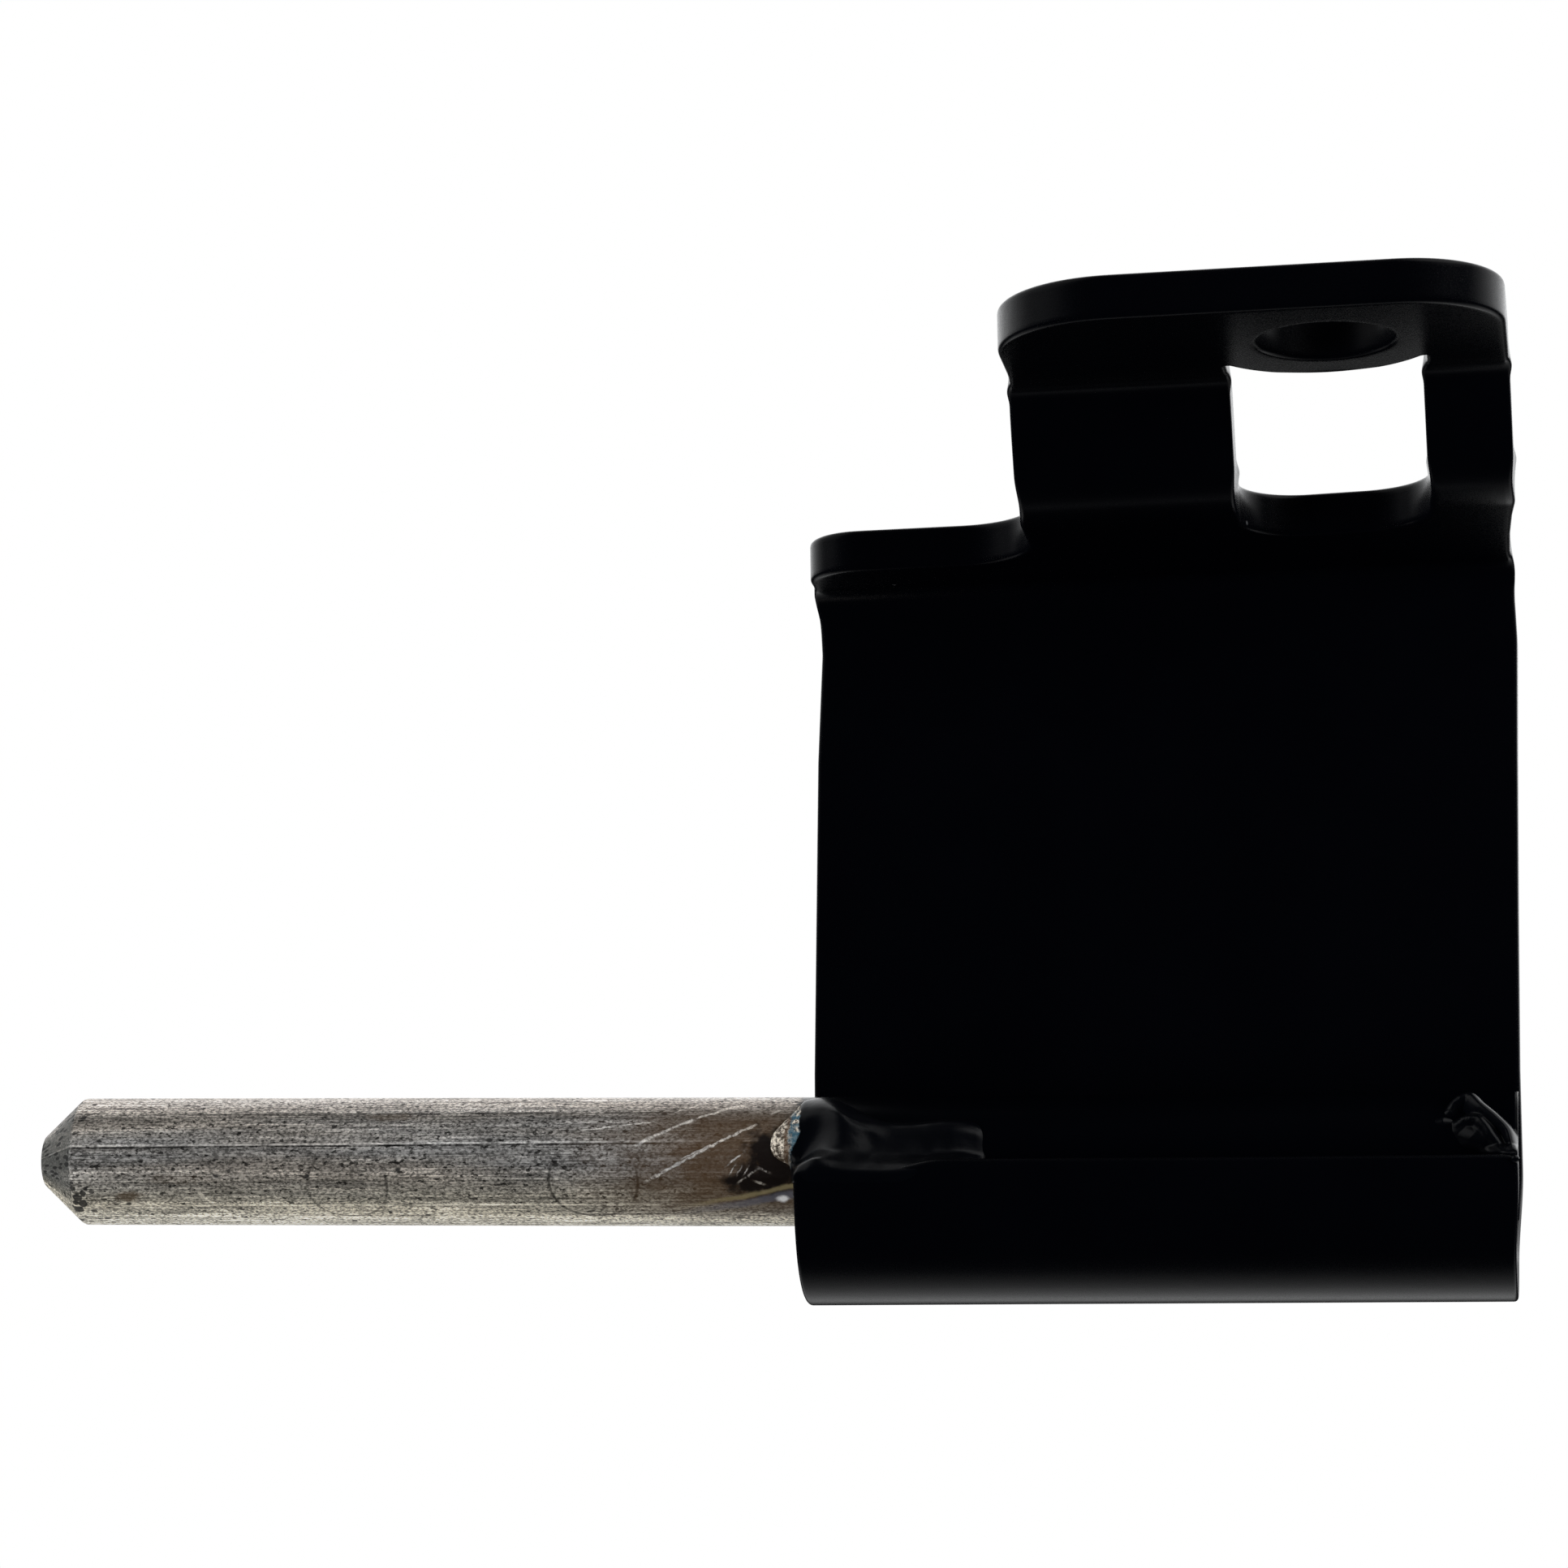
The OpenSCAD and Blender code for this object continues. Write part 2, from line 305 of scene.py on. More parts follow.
def outer_outline():
    """The lip, the plate and, above it by their reach d in front of it, the ledge, the tab and the flange."""
    q = math.pi / 2
    pts = [(x, -EYE_LEN + LIP_MELT * (1 - float(smoothstep(x, 11, 19)))) for x in np.linspace(0, 20, 41)]
    pts += [(PLATE_W, -EYE_LEN), (PLATE_W, BEND_START - 3)]
    plan = [(PLATE_W * math.cos(SKEW) + LEDGE_H * math.sin(SKEW), 0.0), (TAB_RIGHT, FOOT_D)]
    plan += [(TAB_RIGHT, d) for d in np.linspace(FOOT_D, FLANGE_REACH - FLANGE_RIGHT_R, 60)]
    plan += arc(TAB_RIGHT - FLANGE_RIGHT_R, FLANGE_REACH - FLANGE_RIGHT_R, FLANGE_RIGHT_R, 0, q)
    plan += arc(FLANGE_LEFT + FLANGE_LEFT_R, FLANGE_REACH - FLANGE_LEFT_R, FLANGE_LEFT_R, q, 2 * q)
    for d in np.linspace(FLANGE_REACH - FLANGE_LEFT_R, LEDGE_REACH + TAB_FILLET_R, 60):
        plan.append((TAB_LEFT + (FLANGE_LEFT - TAB_LEFT) * float(smoothstep(d, 38, 50)), d))
    plan += arc(TAB_LEFT - TAB_FILLET_R, LEDGE_REACH + TAB_FILLET_R, TAB_FILLET_R, 0, -q)
    left = LEDGE_H * math.sin(SKEW)
    plan += arc(left + LEDGE_CORNER_R, LEDGE_REACH - LEDGE_CORNER_R, LEDGE_CORNER_R, q, 2 * q)
    plan += [(left, 0.0)]
    pts += [upper(s, d) for s, d in plan]
    pts += [(0, BEND_START - 3)]
    return pts


def window_outline():
    """The tab's window: a flat foot that drops to the left, a flared right side, and the land's arc."""
    q = math.pi / 2
    r = WINDOW_CORNER_R
    plan = arc(WINDOW_LEFT + r, WINDOW_REACH + r, r, 2 * q, 3 * q)
    plan += arc(WINDOW_RIGHT - r, WINDOW_REACH + r, r, 3 * q, 4 * q)
    drop = [WINDOW_DROP * float(smoothstep(s, 72, 60)) if d < WINDOW_REACH + r - 0.1 else 0 for s, d in plan]
    plan = [(s, d - down) for (s, d), down in zip(plan, drop)]
    right_a = -math.acos((WINDOW_RIGHT + WINDOW_FLARE - LAND_S) / LAND_R)
    left_a = -math.pi + math.acos((LAND_S - WINDOW_LEFT) / LAND_R)
    top_d = HOLE_D + LAND_R * math.sin(right_a)
    for d in np.linspace(WINDOW_REACH + r, top_d, 40)[1:]:
        plan.append((WINDOW_RIGHT + WINDOW_FLARE * float(smoothstep(d, 40, 46)), d))
    plan += arc(LAND_S, HOLE_D, LAND_R, right_a, left_a, 60)
    top_d = HOLE_D + LAND_R * math.sin(left_a)
    plan += [(WINDOW_LEFT, d) for d in np.linspace(top_d, WINDOW_REACH + r, 40)[1:-1]]
    return [upper(s, d) for s, d in plan]


def hole_outline():
    return [upper(s, d) for s, d in arc(HOLE_S, HOLE_D, HOLE_R, 0, 2 * math.pi, 120)[:-1]]


def stretched(x, z):
    """Spreads the flat pattern out where the sheet bends, so that its triangles are even there."""
    s, h = from_flat(x, z)
    run = h - BEND_START
    far = np.interp(run, MARKS, WIDE_MARKS) + np.maximum(run - MARKS[-1], 0)
    hx, hz = to_flat(s, BEND_START + far)
    x2 = np.where(run > 0, hx, x)
    z2 = np.where(run > 0, hz, np.where(z < 0, z * BEND_STRETCH, z))
    return np.c_[x2, z2].astype(np.float32).astype(float)


def inside(points, loop):
    """Which points are inside a closed loop."""
    px, pz = points[:, 0:1], points[:, 1:2]
    a, b = loop, np.roll(loop, -1, axis=0)
    cross = (a[:, 1] > pz) != (b[:, 1] > pz)
    with np.errstate(divide="ignore", invalid="ignore"):
        at = a[:, 0] + (pz - a[:, 1]) * (b[:, 0] - a[:, 0]) / (b[:, 1] - a[:, 1])
    return (cross & (px < at)).sum(axis=1) % 2 == 1


def grid_points():
    """Places inside the sheet, in rows along the bend lines."""
    out = []
    for far in np.arange(GRID / 2, WIDE_MARKS[-1], GRID):
        run = np.interp(far, WIDE_MARKS, MARKS)
        out += [to_flat(s, BEND_START + run) for s in np.arange(-3, 96, GRID)]
    for z in np.arange(-EYE_LEN, BEND_START + 3, GRID):
        step = GRID / BEND_STRETCH if z < 0 else GRID
        for zz in np.arange(z, z + GRID - 1e-6, step):
            for x in np.arange(0, PLATE_W + 1, GRID):
                if from_flat(x, zz)[1] < BEND_START - 0.6 and abs(zz) > 0.1:
                    out.append((x, zz))
    return np.array(out)


def mesh_object(name, verts, faces, smooth=True):
    """An object in millimetres, its faces turned outwards."""
    p = np.asarray(verts, float)
    fans = np.array([(f[0], f[i], f[i + 1]) for f in faces for i in range(1, len(f) - 1)])
    volume = np.einsum("ij,ij->i", p[fans[:, 0]], np.cross(p[fans[:, 1]], p[fans[:, 2]])).sum()
    if volume < 0:
        faces = [f[::-1] for f in faces]
    mesh = bpy.data.meshes.new(name)
    mesh.from_pydata([tuple(v) for v in p * MM], [], [tuple(int(i) for i in f) for f in faces])
    mesh.validate()
    mesh.update()
    if smooth:
        mesh.polygons.foreach_set("use_smooth", [True] * len(mesh.polygons))
    obj = bpy.data.objects.new(name, mesh)
    bpy.context.scene.collection.objects.link(obj)
    return obj


def closed_tube(rings, size, first, last, start=0):
    """Faces of a tube of rings with size vertices each, closed by fans round the vertices first and last."""
    top = start + (rings - 1) * size
    faces = []
    for i in range(size):
        j = (i + 1) % size
        faces += [(a + i, a + j, a + size + j, a + size + i) for a in range(start, top, size)]
        faces += [(first, start + j, start + i), (last, top + i, top + j)]
    return faces


def rim_inset(p, t):
    """How far inside the outline the flat starts: less in tight corners, where it would cross itself."""
    step = np.hypot(*(np.roll(p, -1, axis=0) - p).T)
    ahead = np.roll(t, -1, axis=0)
    bend = (t[:, 0] * ahead[:, 1] - t[:, 1] * ahead[:, 0]) / step
    bend = np.max([np.roll(bend, k) for k in range(-5, 6)], axis=0)
    share = np.clip((1 / np.maximum(bend, 1e-6) - 0.7) / 1.2, 0.06, 1)
    share = np.mean([np.roll(share, k) for k in range(-4, 5)], axis=0)
    return EDGE_R + (RIM - EDGE_R) * share


def edge_loops():
    """The outlines as even points, each with its directions into the sheet and the inset of its rim."""
    loops = []
    outlines = (
        (outer_outline(), OUTLINE_SOFTEN, False),
        (window_outline(), HOLE_SOFTEN, True),
        (hole_outline(), HOLE_SOFTEN, True),
    )
    for pts, soften, hole in outlines:
        p = softened(evenly(pts, OUTLINE_STEP), soften, OUTLINE_STEP)
        area = 0.5 * np.sum(p[:, 0] * np.roll(p[:, 1], -1) - np.roll(p[:, 0], -1) * p[:, 1])
        if (area < 0) != hole:
            p = p[::-1]
        t = np.roll(p, -1, axis=0) - np.roll(p, 1, axis=0)
        t /= np.hypot(*t.T)[:, None]
        loops.append((p, np.c_[-t[:, 1], t[:, 0]], rim_inset(p, t)))
    return loops


def on_sheet(points, bounds):
    return inside(points, bounds[0]) & ~inside(points, bounds[1]) & ~inside(points, bounds[2])


def flat_triangles(loops):
    """Points of the flat faces, the rims' own first, and the triangles between them."""
    rim = np.vstack([p + inward * inset[:, None] for p, inward, inset in loops])
    spread = stretched(rim[:, 0], rim[:, 1])
    bounds, edges, start = [], [], 0
    for p, _, _ in loops:
        bounds.append(spread[start : start + len(p)])
        edges += [(start + i, start + (i + 1) % len(p)) for i in range(len(p))]
        start += len(p)
    grid = grid_points()
    wide = stretched(grid[:, 0], grid[:, 1])
    keep = on_sheet(wide, bounds)
    grid, wide = grid[keep], wide[keep]
    gap = np.full(len(wide), np.inf)
    for chunk in np.array_split(spread, 40):
        away = np.hypot(wide[:, :1] - chunk[:, 0], wide[:, 1:] - chunk[:, 1])
        gap = np.minimum(gap, away.min(axis=1))
    flat = np.vstack([rim, grid[gap > RIM_CLEAR]])
    spread = np.vstack([spread, wide[gap > RIM_CLEAR]])
    out = delaunay_2d_cdt([Vector(v) for v in spread], edges, [], 0, 1e-5)
    if len(out[0]) != len(spread):
        raise RuntimeError("the outline crosses itself")
    order = np.array([o[0] for o in out[3]])
    tri = np.array([[order[i] for i in f] for f in out[2]])
    return flat, tri[on_sheet(spread[tri].mean(axis=1), bounds)]


def edge_profile():
    """The section of the sheet's edge, rounded at both faces, as rows of (inset, level)."""
    quarter = []
    for k in range(ROUND_STEPS + 1):
        a = math.pi / 2 * k / ROUND_STEPS
        quarter.append((EDGE_R * (1 - math.sin(a)), HALF_T - EDGE_R * (1 - math.cos(a))))
    middle = [(0.0, share * (HALF_T - EDGE_R)) for share in (0.8, 0.0, -0.8)]
    return quarter + middle + [(inset, -level) for inset, level in quarter[::-1]]


def formed_sheet(name):
    """The sheet: both faces triangulated in the flat, rounded edges all round, then bent."""
    loops = edge_loops()
    flat, tri = flat_triangles(loops)
    n = len(flat)
    rows = [np.c_[flat, np.full(n, HALF_T)], np.c_[flat, np.full(n, -HALF_T)]]
    faces = [tuple(f) for f in tri] + [tuple(f[::-1] + n) for f in tri]
    total, start = 2 * n, 0
    for p, inward, _ in loops:
        count = len(p)
        rings = [np.arange(start, start + count)]
        for inset, level in edge_profile():
            rows.append(np.c_[p + inward * inset, np.full(count, level)])
            rings.append(np.arange(total, total + count))
            total += count
        rings.append(rings[0] + n)
        for a, b in zip(rings, rings[1:]):
            a2, b2 = np.roll(a, -1), np.roll(b, -1)
            faces += [(a2[i], a[i], b[i], b2[i]) for i in range(count)]
        start += count
    verts = formed(*np.vstack(rows).T)
    verts[:, 0] += EYE_X
    return mesh_object(name, verts, faces)


def turned(name, profile):
    """A turned bar along X from rows of (x, radius), closed at both ends and a little worn."""
    ang = np.arange(PIN_SIDES) * 2 * math.pi / PIN_SIDES
    verts = []
    for x, r in profile:
        rr = r - PIN_WEAR * (0.5 + 0.5 * np.sin(3 * ang + x / 9)) * (0.5 + 0.5 * np.sin(x / 23 + 1))
        rise = PIN_TILT * max(0.0, -x)
        verts += [(x + EYE_X, -y, rise + z) for y, z in zip(rr * np.cos(ang), rr * np.sin(ang))]
    centres = len(verts)
    verts += [(profile[0][0] + EYE_X, 0, -PIN_TILT * profile[0][0]), (profile[-1][0] + EYE_X, 0, 0)]
    return mesh_object(name, verts, closed_tube(len(profile), PIN_SIDES, centres, centres + 1))


def pin_profile():
    """The free end's chamfer with softened corners, the bar, and a plain sawn inner end."""
    tip, shoulder = -PIN_FREE, PIN_CHAMFER - PIN_FREE
    rows = [(tip, 0.6), (tip, 1.6), (tip, 2.3)]
    for k in range(5):
        a = math.pi / 4 * k / 4
        r = PIN_TIP_R - TIP_ROUND * ROUND_SHARE + TIP_ROUND * math.sin(a)
        rows.append((tip + TIP_ROUND * (1 - math.cos(a)), r))
    for t in np.linspace(0.08, 0.94, 14):
        rows.append((tip + PIN_CHAMFER * t, PIN_TIP_R + (PIN_R - PIN_TIP_R) * t))
    for k in range(1, 7):
        a = math.pi / 4 * (1 - k / 6)
        x = shoulder + SHOULDER_ROUND * ROUND_SHARE - SHOULDER_ROUND * math.sin(a)
        rows.append((x, PIN_R - SHOULDER_ROUND * (1 - math.cos(a))))
    rows += [(x, PIN_R) for x in np.linspace(shoulder + 1.2, PIN_END - 0.6, 150)]
    rows += [(PIN_END - 0.25, PIN_R - 0.05), (PIN_END, PIN_R - 0.3), (PIN_END, PIN_R - 1.2), (PIN_END, 0.8)]
    return rows


def rounded_path(points, n):
    """A smooth curve of n points through the given ones."""
    p = np.array(points, float)
    run = np.concatenate([[0], np.cumsum(np.hypot(*np.diff(p[:, -2:], axis=0).T) + 1e-6)])
    at = np.linspace(0, run[-1], n)
    return np.stack([hermite(run, p[:, k], at) for k in range(p.shape[1])], axis=1)


def hermite(knots, values, at):
    """Cubic interpolation with slopes that don't overshoot."""
    knots, values = np.asarray(knots, float), np.asarray(values, float)
    gap = np.diff(knots)
    rate = np.diff(values) / gap
    slope = np.zeros(len(knots))
    for i in range(1, len(knots) - 1):
        if rate[i - 1] * rate[i] > 0:
            w1, w2 = 2 * gap[i] + gap[i - 1], gap[i] + 2 * gap[i - 1]
            slope[i] = (w1 + w2) / (w1 / rate[i - 1] + w2 / rate[i])
    slope[0], slope[-1] = rate[0], rate[-1]
    i = np.clip(np.searchsorted(knots, at) - 1, 0, len(gap) - 1)
    t = (at - knots[i]) / gap[i]
    h = gap[i]
    return (
        values[i] * (1 + 2 * t) * (1 - t) ** 2
        + slope[i] * h * t * (1 - t) ** 2
        + values[i + 1] * t * t * (3 - 2 * t)
        + slope[i + 1] * h * t * t * (t - 1)
    )


def polar(degrees, r):
    """Forward reach and height of a point at an angle above the pin's front."""
    return r * math.cos(math.radians(degrees)), r * math.sin(math.radians(degrees))


def rippled(loops, run):
    """The bead's rows of points, moved in and out a little as its strokes solidified."""
    ahead = 2 * loops[:, -1:] - loops[:, -2:-1]
    t = np.diff(loops, axis=1, append=ahead)
    n = np.stack([-t[..., 1], t[..., 0]], axis=2)
    n /= np.linalg.norm(n, axis=2)[..., None] + 1e-9
    j = np.arange(BEAD_POINTS)[None] / BEAD_POINTS
    x = run[:, None]
    bow = x + 2.2 * (j - 0.5) ** 2 * 4
    wave = np.sin(bow * 2.1 + 0.8 * np.sin(bow * 0.7)) + 0.7 * np.sin(x * 1.1 + 5 * j)
    wave *= np.sin(math.pi * j) * smoothstep(x, 0.5, 3)
    return loops - n * (wave * BEAD_RIPPLE)[..., None]


def lofted(name, stations):
    """Weld metal lofted through cross sections over the pin and over the lip, closed inside the steel."""
    xs = np.array([x for x, _, _ in stations], float)
    sections = []
    for _, over_pin, over_lip in stations:
        points = [polar(degrees, PIN_R + out) for degrees, out in over_pin] + list(over_lip)
        sections.append(rounded_path(points, BEAD_POINTS))
    sections = np.array(sections)
    run = np.arange(xs[0], xs[-1] + BEAD_STEP / 2, BEAD_STEP)
    loops = np.empty((len(run), BEAD_POINTS, 2))
    for j in range(BEAD_POINTS):
        for c in range(2):
            loops[:, j, c] = hermite(xs, sections[:, j, c], run)

    # The stations blend into each other, but for the toe and the far end
    reach = int(2.4 / BEAD_STEP)
    padded = np.pad(loops, ((reach, reach), (0, 0), (0, 0)), mode="edge")
    weights = bell(reach, BEAD_BLUR, BEAD_STEP)
    blurred = sum(weight * padded[k : k + len(run)] for k, weight in enumerate(weights))
    share = (smoothstep(run, 0.6, 2.4) * smoothstep(run, xs[-1], xs[-1] - 2))[:, None, None]
    loops = rippled(loops * (1 - share) + blurred * share, run)

    size = BEAD_POINTS + len(BEAD_ROOT)
    verts = []
    for x, loop in zip(run, loops):
        verts += [(x + EYE_X, -y, z) for y, z in np.vstack([loop, BEAD_ROOT])]
    centres = len(verts)
    verts += [np.mean(verts[:size], axis=0), np.mean(verts[-size:], axis=0)]

    # Each face starts at its second corner, so that it is split along its other diagonal
    faces = closed_tube(len(run), size, centres, centres + 1)
    return mesh_object(name, verts, [f[1:] + f[:1] for f in faces])


# The left bead: x, then its surface over the pin as (degrees above the front, height over the pin), then
# over the eye's lip as (reach in front, height), down to the bead's heel. The toe is outside the eye.
HEEL = (13, -4.2)
LEFT_BEAD = (
    (-3.3, ((16, -0.6), (14, -0.5), (12, -0.4), (9, -0.4), (7, -0.4), (5, -0.5), (3, -0.6), (1, -0.7)), ()),
    (-2.7, ((24, -0.5), (19, 0.1), (14, 0.3), (9, 0.34), (5, 0.28), (1, 0.05), (-3, -0.5), (-5, -0.8)), ()),
    (-1.7, ((34, -0.5), (28, 0.25), (21, 0.62), (11, 0.75), (3, 0.6), (-4, 0.2), (-8, -0.5), (-10, -0.9)), ()),
    (-0.7, ((44, -0.5), (38, 0.3), (28, 0.75), (13, 0.9), (1, 0.7), (-7, 0.3), (-12, -0.5), (-14, -0.9)), ()),
    (0.1, ((58, -0.5), (48, 0.35), (30, 0.8), (12, 0.5), (-3, 0.5)), ((10.2, -2.4), (11, -3.2), (11, -3.9))),
    (0.8, ((72, -0.5), (58, 0.4), (31, 1), (12, 0.35), (-3, 0.4)), ((12.6, -2.3), (13.3, -3), (13, -3.9))),
    (1.7, ((82, -0.5), (62, 0.45), (31, 1.2), (13, 0.4), (-2, 0.6)), ((13.1, -1.7), (13.45, -2.7), HEEL)),
    (3.2, ((85, -0.5), (64, 0.5), (33, 1.6), (14, 0.75), (2, 1.7)), ((13.1, -1), (13.45, -2.4), HEEL)),
    (5.0, ((76, -0.5), (54, 0.55), (30, 2.2), (17, 1.9), (5, 2.2)), ((13, -1.5), (13.45, -2.5), HEEL)),
    (6.8, ((60, -0.5), (40, 0.75), (25, 2.1), (15, 2), (4, 2.3)), ((12.9, -1.9), (13.45, -2.7), HEEL)),
    (9.0, ((44, -0.5), (31, 0.75), (20, 1.45), (11, 1.5), (1, 2.2)), ((12.9, -2.1), (13.45, -2.8), HEEL)),
    (12.0, ((34, -0.5), (24, 0.6), (16, 1.05), (9, 1.4), (0, 2.1)), ((12.9, -2.2), (13.45, -2.9), HEEL)),
    (15.0, ((34, -0.5), (24, 0.65), (16, 1.05), (8, 1.3), (-1, 2)), ((12.8, -1.9), (13.42, -2.7), (13, -4))),
    (18.0, ((37, -0.5), (27, 0.75), (18, 1.1), (9, 1.2), (0, 1.6)), ((12, -1.2), (12.8, -1.8), (12.9, -2.7))),
    (20.6, ((38, -0.5), (27, 0.7), (18, 0.95), (9, 0.9), (1, 1.1)), ((10.8, -0.9), (11.6, -1.4), (11.8, -2.2))),
    (22.4, ((34, -0.5), (24, 0.4), (16, 0.5), (8, 0.4), (0, 0.5)), ((9.4, -0.8), (9.9, -1.4), (10, -2))),
    (23.6, ((24, -0.6), (18, -0.4), (12, -0.3), (6, -0.3), (0, -0.2)), ((8.3, -1.2), (8.4, -1.6), (8.4, -2.2))),
)
BEAD_ROOT = ((6.0, -1.4), (5.0, 0.5), (4.2, 2.6))

# Strokes of the right bead: their path as (x, degrees), half widths, heights over the pin, and how
# round they are. First a drop, then the pool, then the two lobes that run down to the lip's corner.
RIGHT_STROKES = (
    (((77.4, 26), (79.0, 26.2), (80.6, 25.8)), (0.5, 0.8, 0.5), (-0.3, 0.16, -0.2), 0.55),
    (((81.8, 19), (82.8, 13), (84.0, 7), (85.4, 1)), (1.9, 2.3, 2.1, 1.5), (0.6, 1.2, 1.4, 1.3), 0.8),
    (
        ((80.9, 22), (81.8, 25), (83.0, 24), (84.1, 17), (85.1, 7), (86.3, -1), (87.6, -4), (89.2, -6)),
        (0.9, 1.3, 1.5, 1.55, 1.5, 1.3, 1.2, 1.2),
        (0.5, 1.3, 1.7, 1.85, 1.95, 2.1, 2.3, 2.4),
        1.0,
    ),
    (
        ((79.9, 36), (80.6, 43), (81.8, 46), (83.6, 33), (85.4, 22), (86.7, 12), (87.2, 2), (88, -4))
        + ((89.2, -8),),
        (0.9, 1.3, 1.5, 1.45, 1.35, 1.25, 1.15, 1.1, 1.1),
        (0.4, 1.4, 1.9, 2.0, 2.0, 2.1, 2.3, 2.5, 2.5),
        1.0,
    ),
)
STROKE_POINTS = 60
STROKE_BLEND = 5


def stroked(relief, gx, arc_at, path, half, height, power):
    """The relief with one more stroke of metal melted into it."""
    ends = np.linspace(0, 1, STROKE_POINTS)
    halves = np.interp(ends, np.linspace(0, 1, len(half)), half)
    heights = np.interp(ends, np.linspace(0, 1, len(height)), height)
    best, tall = np.full(gx.shape, 1e9), np.zeros(gx.shape)
    middle = rounded_path([(x, math.radians(d) * RIGHT_MEAN_R) for x, d in path], STROKE_POINTS)
    for (px, pa), hw, hh in zip(middle, halves, heights):
        away = np.hypot(gx - px, arc_at - pa) / hw
        hit = away < best
        best, tall = np.where(hit, away, best), np.where(hit, hh, tall)
    cap = -RIGHT_SINK + (tall + RIGHT_SINK) * np.clip(1 - best**2, 0, 1) ** power
    return np.log(np.exp(relief * STROKE_BLEND) + np.exp(cap * STROKE_BLEND)) / STROKE_BLEND


def right_weld(name):
    """A shell over the pin's inner end, with its strokes in relief on it, that rises to the lip."""
    xs = np.arange(RIGHT_X[0], RIGHT_X[1] + RIGHT_STEP / 2, RIGHT_STEP)
    low, high = RIGHT_ARC
    angles = np.radians(np.linspace(low, high, int(np.radians(high - low) * RIGHT_MEAN_R / RIGHT_STEP)))
    gx, ga = np.meshgrid(xs, angles, indexing="ij")
    relief = np.full(gx.shape, -RIGHT_SINK)
    for path, half, height, power in RIGHT_STROKES:
        relief = stroked(relief, gx, ga * RIGHT_MEAN_R, path, half, height, power)
    relief += 3.0 * smoothstep(gx, 83, 86.5) * smoothstep(-ga, math.radians(-3), math.radians(5))
    na, nx = len(angles), len(xs)
    verts, faces = [], []
    for r in (PIN_R + relief, np.full(gx.shape, RIGHT_INNER_R)):
        rows = np.stack([gx + EYE_X, -r * np.cos(ga), r * np.sin(ga)], axis=-1)
        verts += rows.reshape(-1, 3).tolist()
    layer = nx * na
    for i in range(nx - 1):
        for j in range(na - 1):
            a, b, c, d = i * na + j, (i + 1) * na + j, (i + 1) * na + j + 1, i * na + j + 1
            faces += [(a, b, c, d), (d + layer, c + layer, b + layer, a + layer)]
    rim = [i * na for i in range(nx)] + [(nx - 1) * na + j for j in range(1, na)]
    rim += [i * na + na - 1 for i in range(nx - 2, -1, -1)] + [j for j in range(na - 2, 0, -1)]
    for a, b in zip(rim, rim[1:] + rim[:1]):
        faces.append((b, a, a + layer, b + layer))
    weld = mesh_object(name, verts, faces)
    for polygon in weld.data.polygons[-len(rim) :]:
        polygon.use_smooth = False
    return weld


def ball(centre, r, n=12):
    """Vertices and faces of a small round drop."""
    x, y, z = centre
    verts = [(x, y, z + r)]
    for j in range(1, n):
        v = math.pi * j / n
        ring_r, ring_z = r * math.sin(v), z + r * math.cos(v)
        for i in range(2 * n):
            u = math.pi * i / n
            verts.append((x + ring_r * math.cos(u), y + ring_r * math.sin(u), ring_z))
    verts.append((x, y, z - r))
    return verts, closed_tube(n - 1, 2 * n, 0, len(verts) - 1, 1)


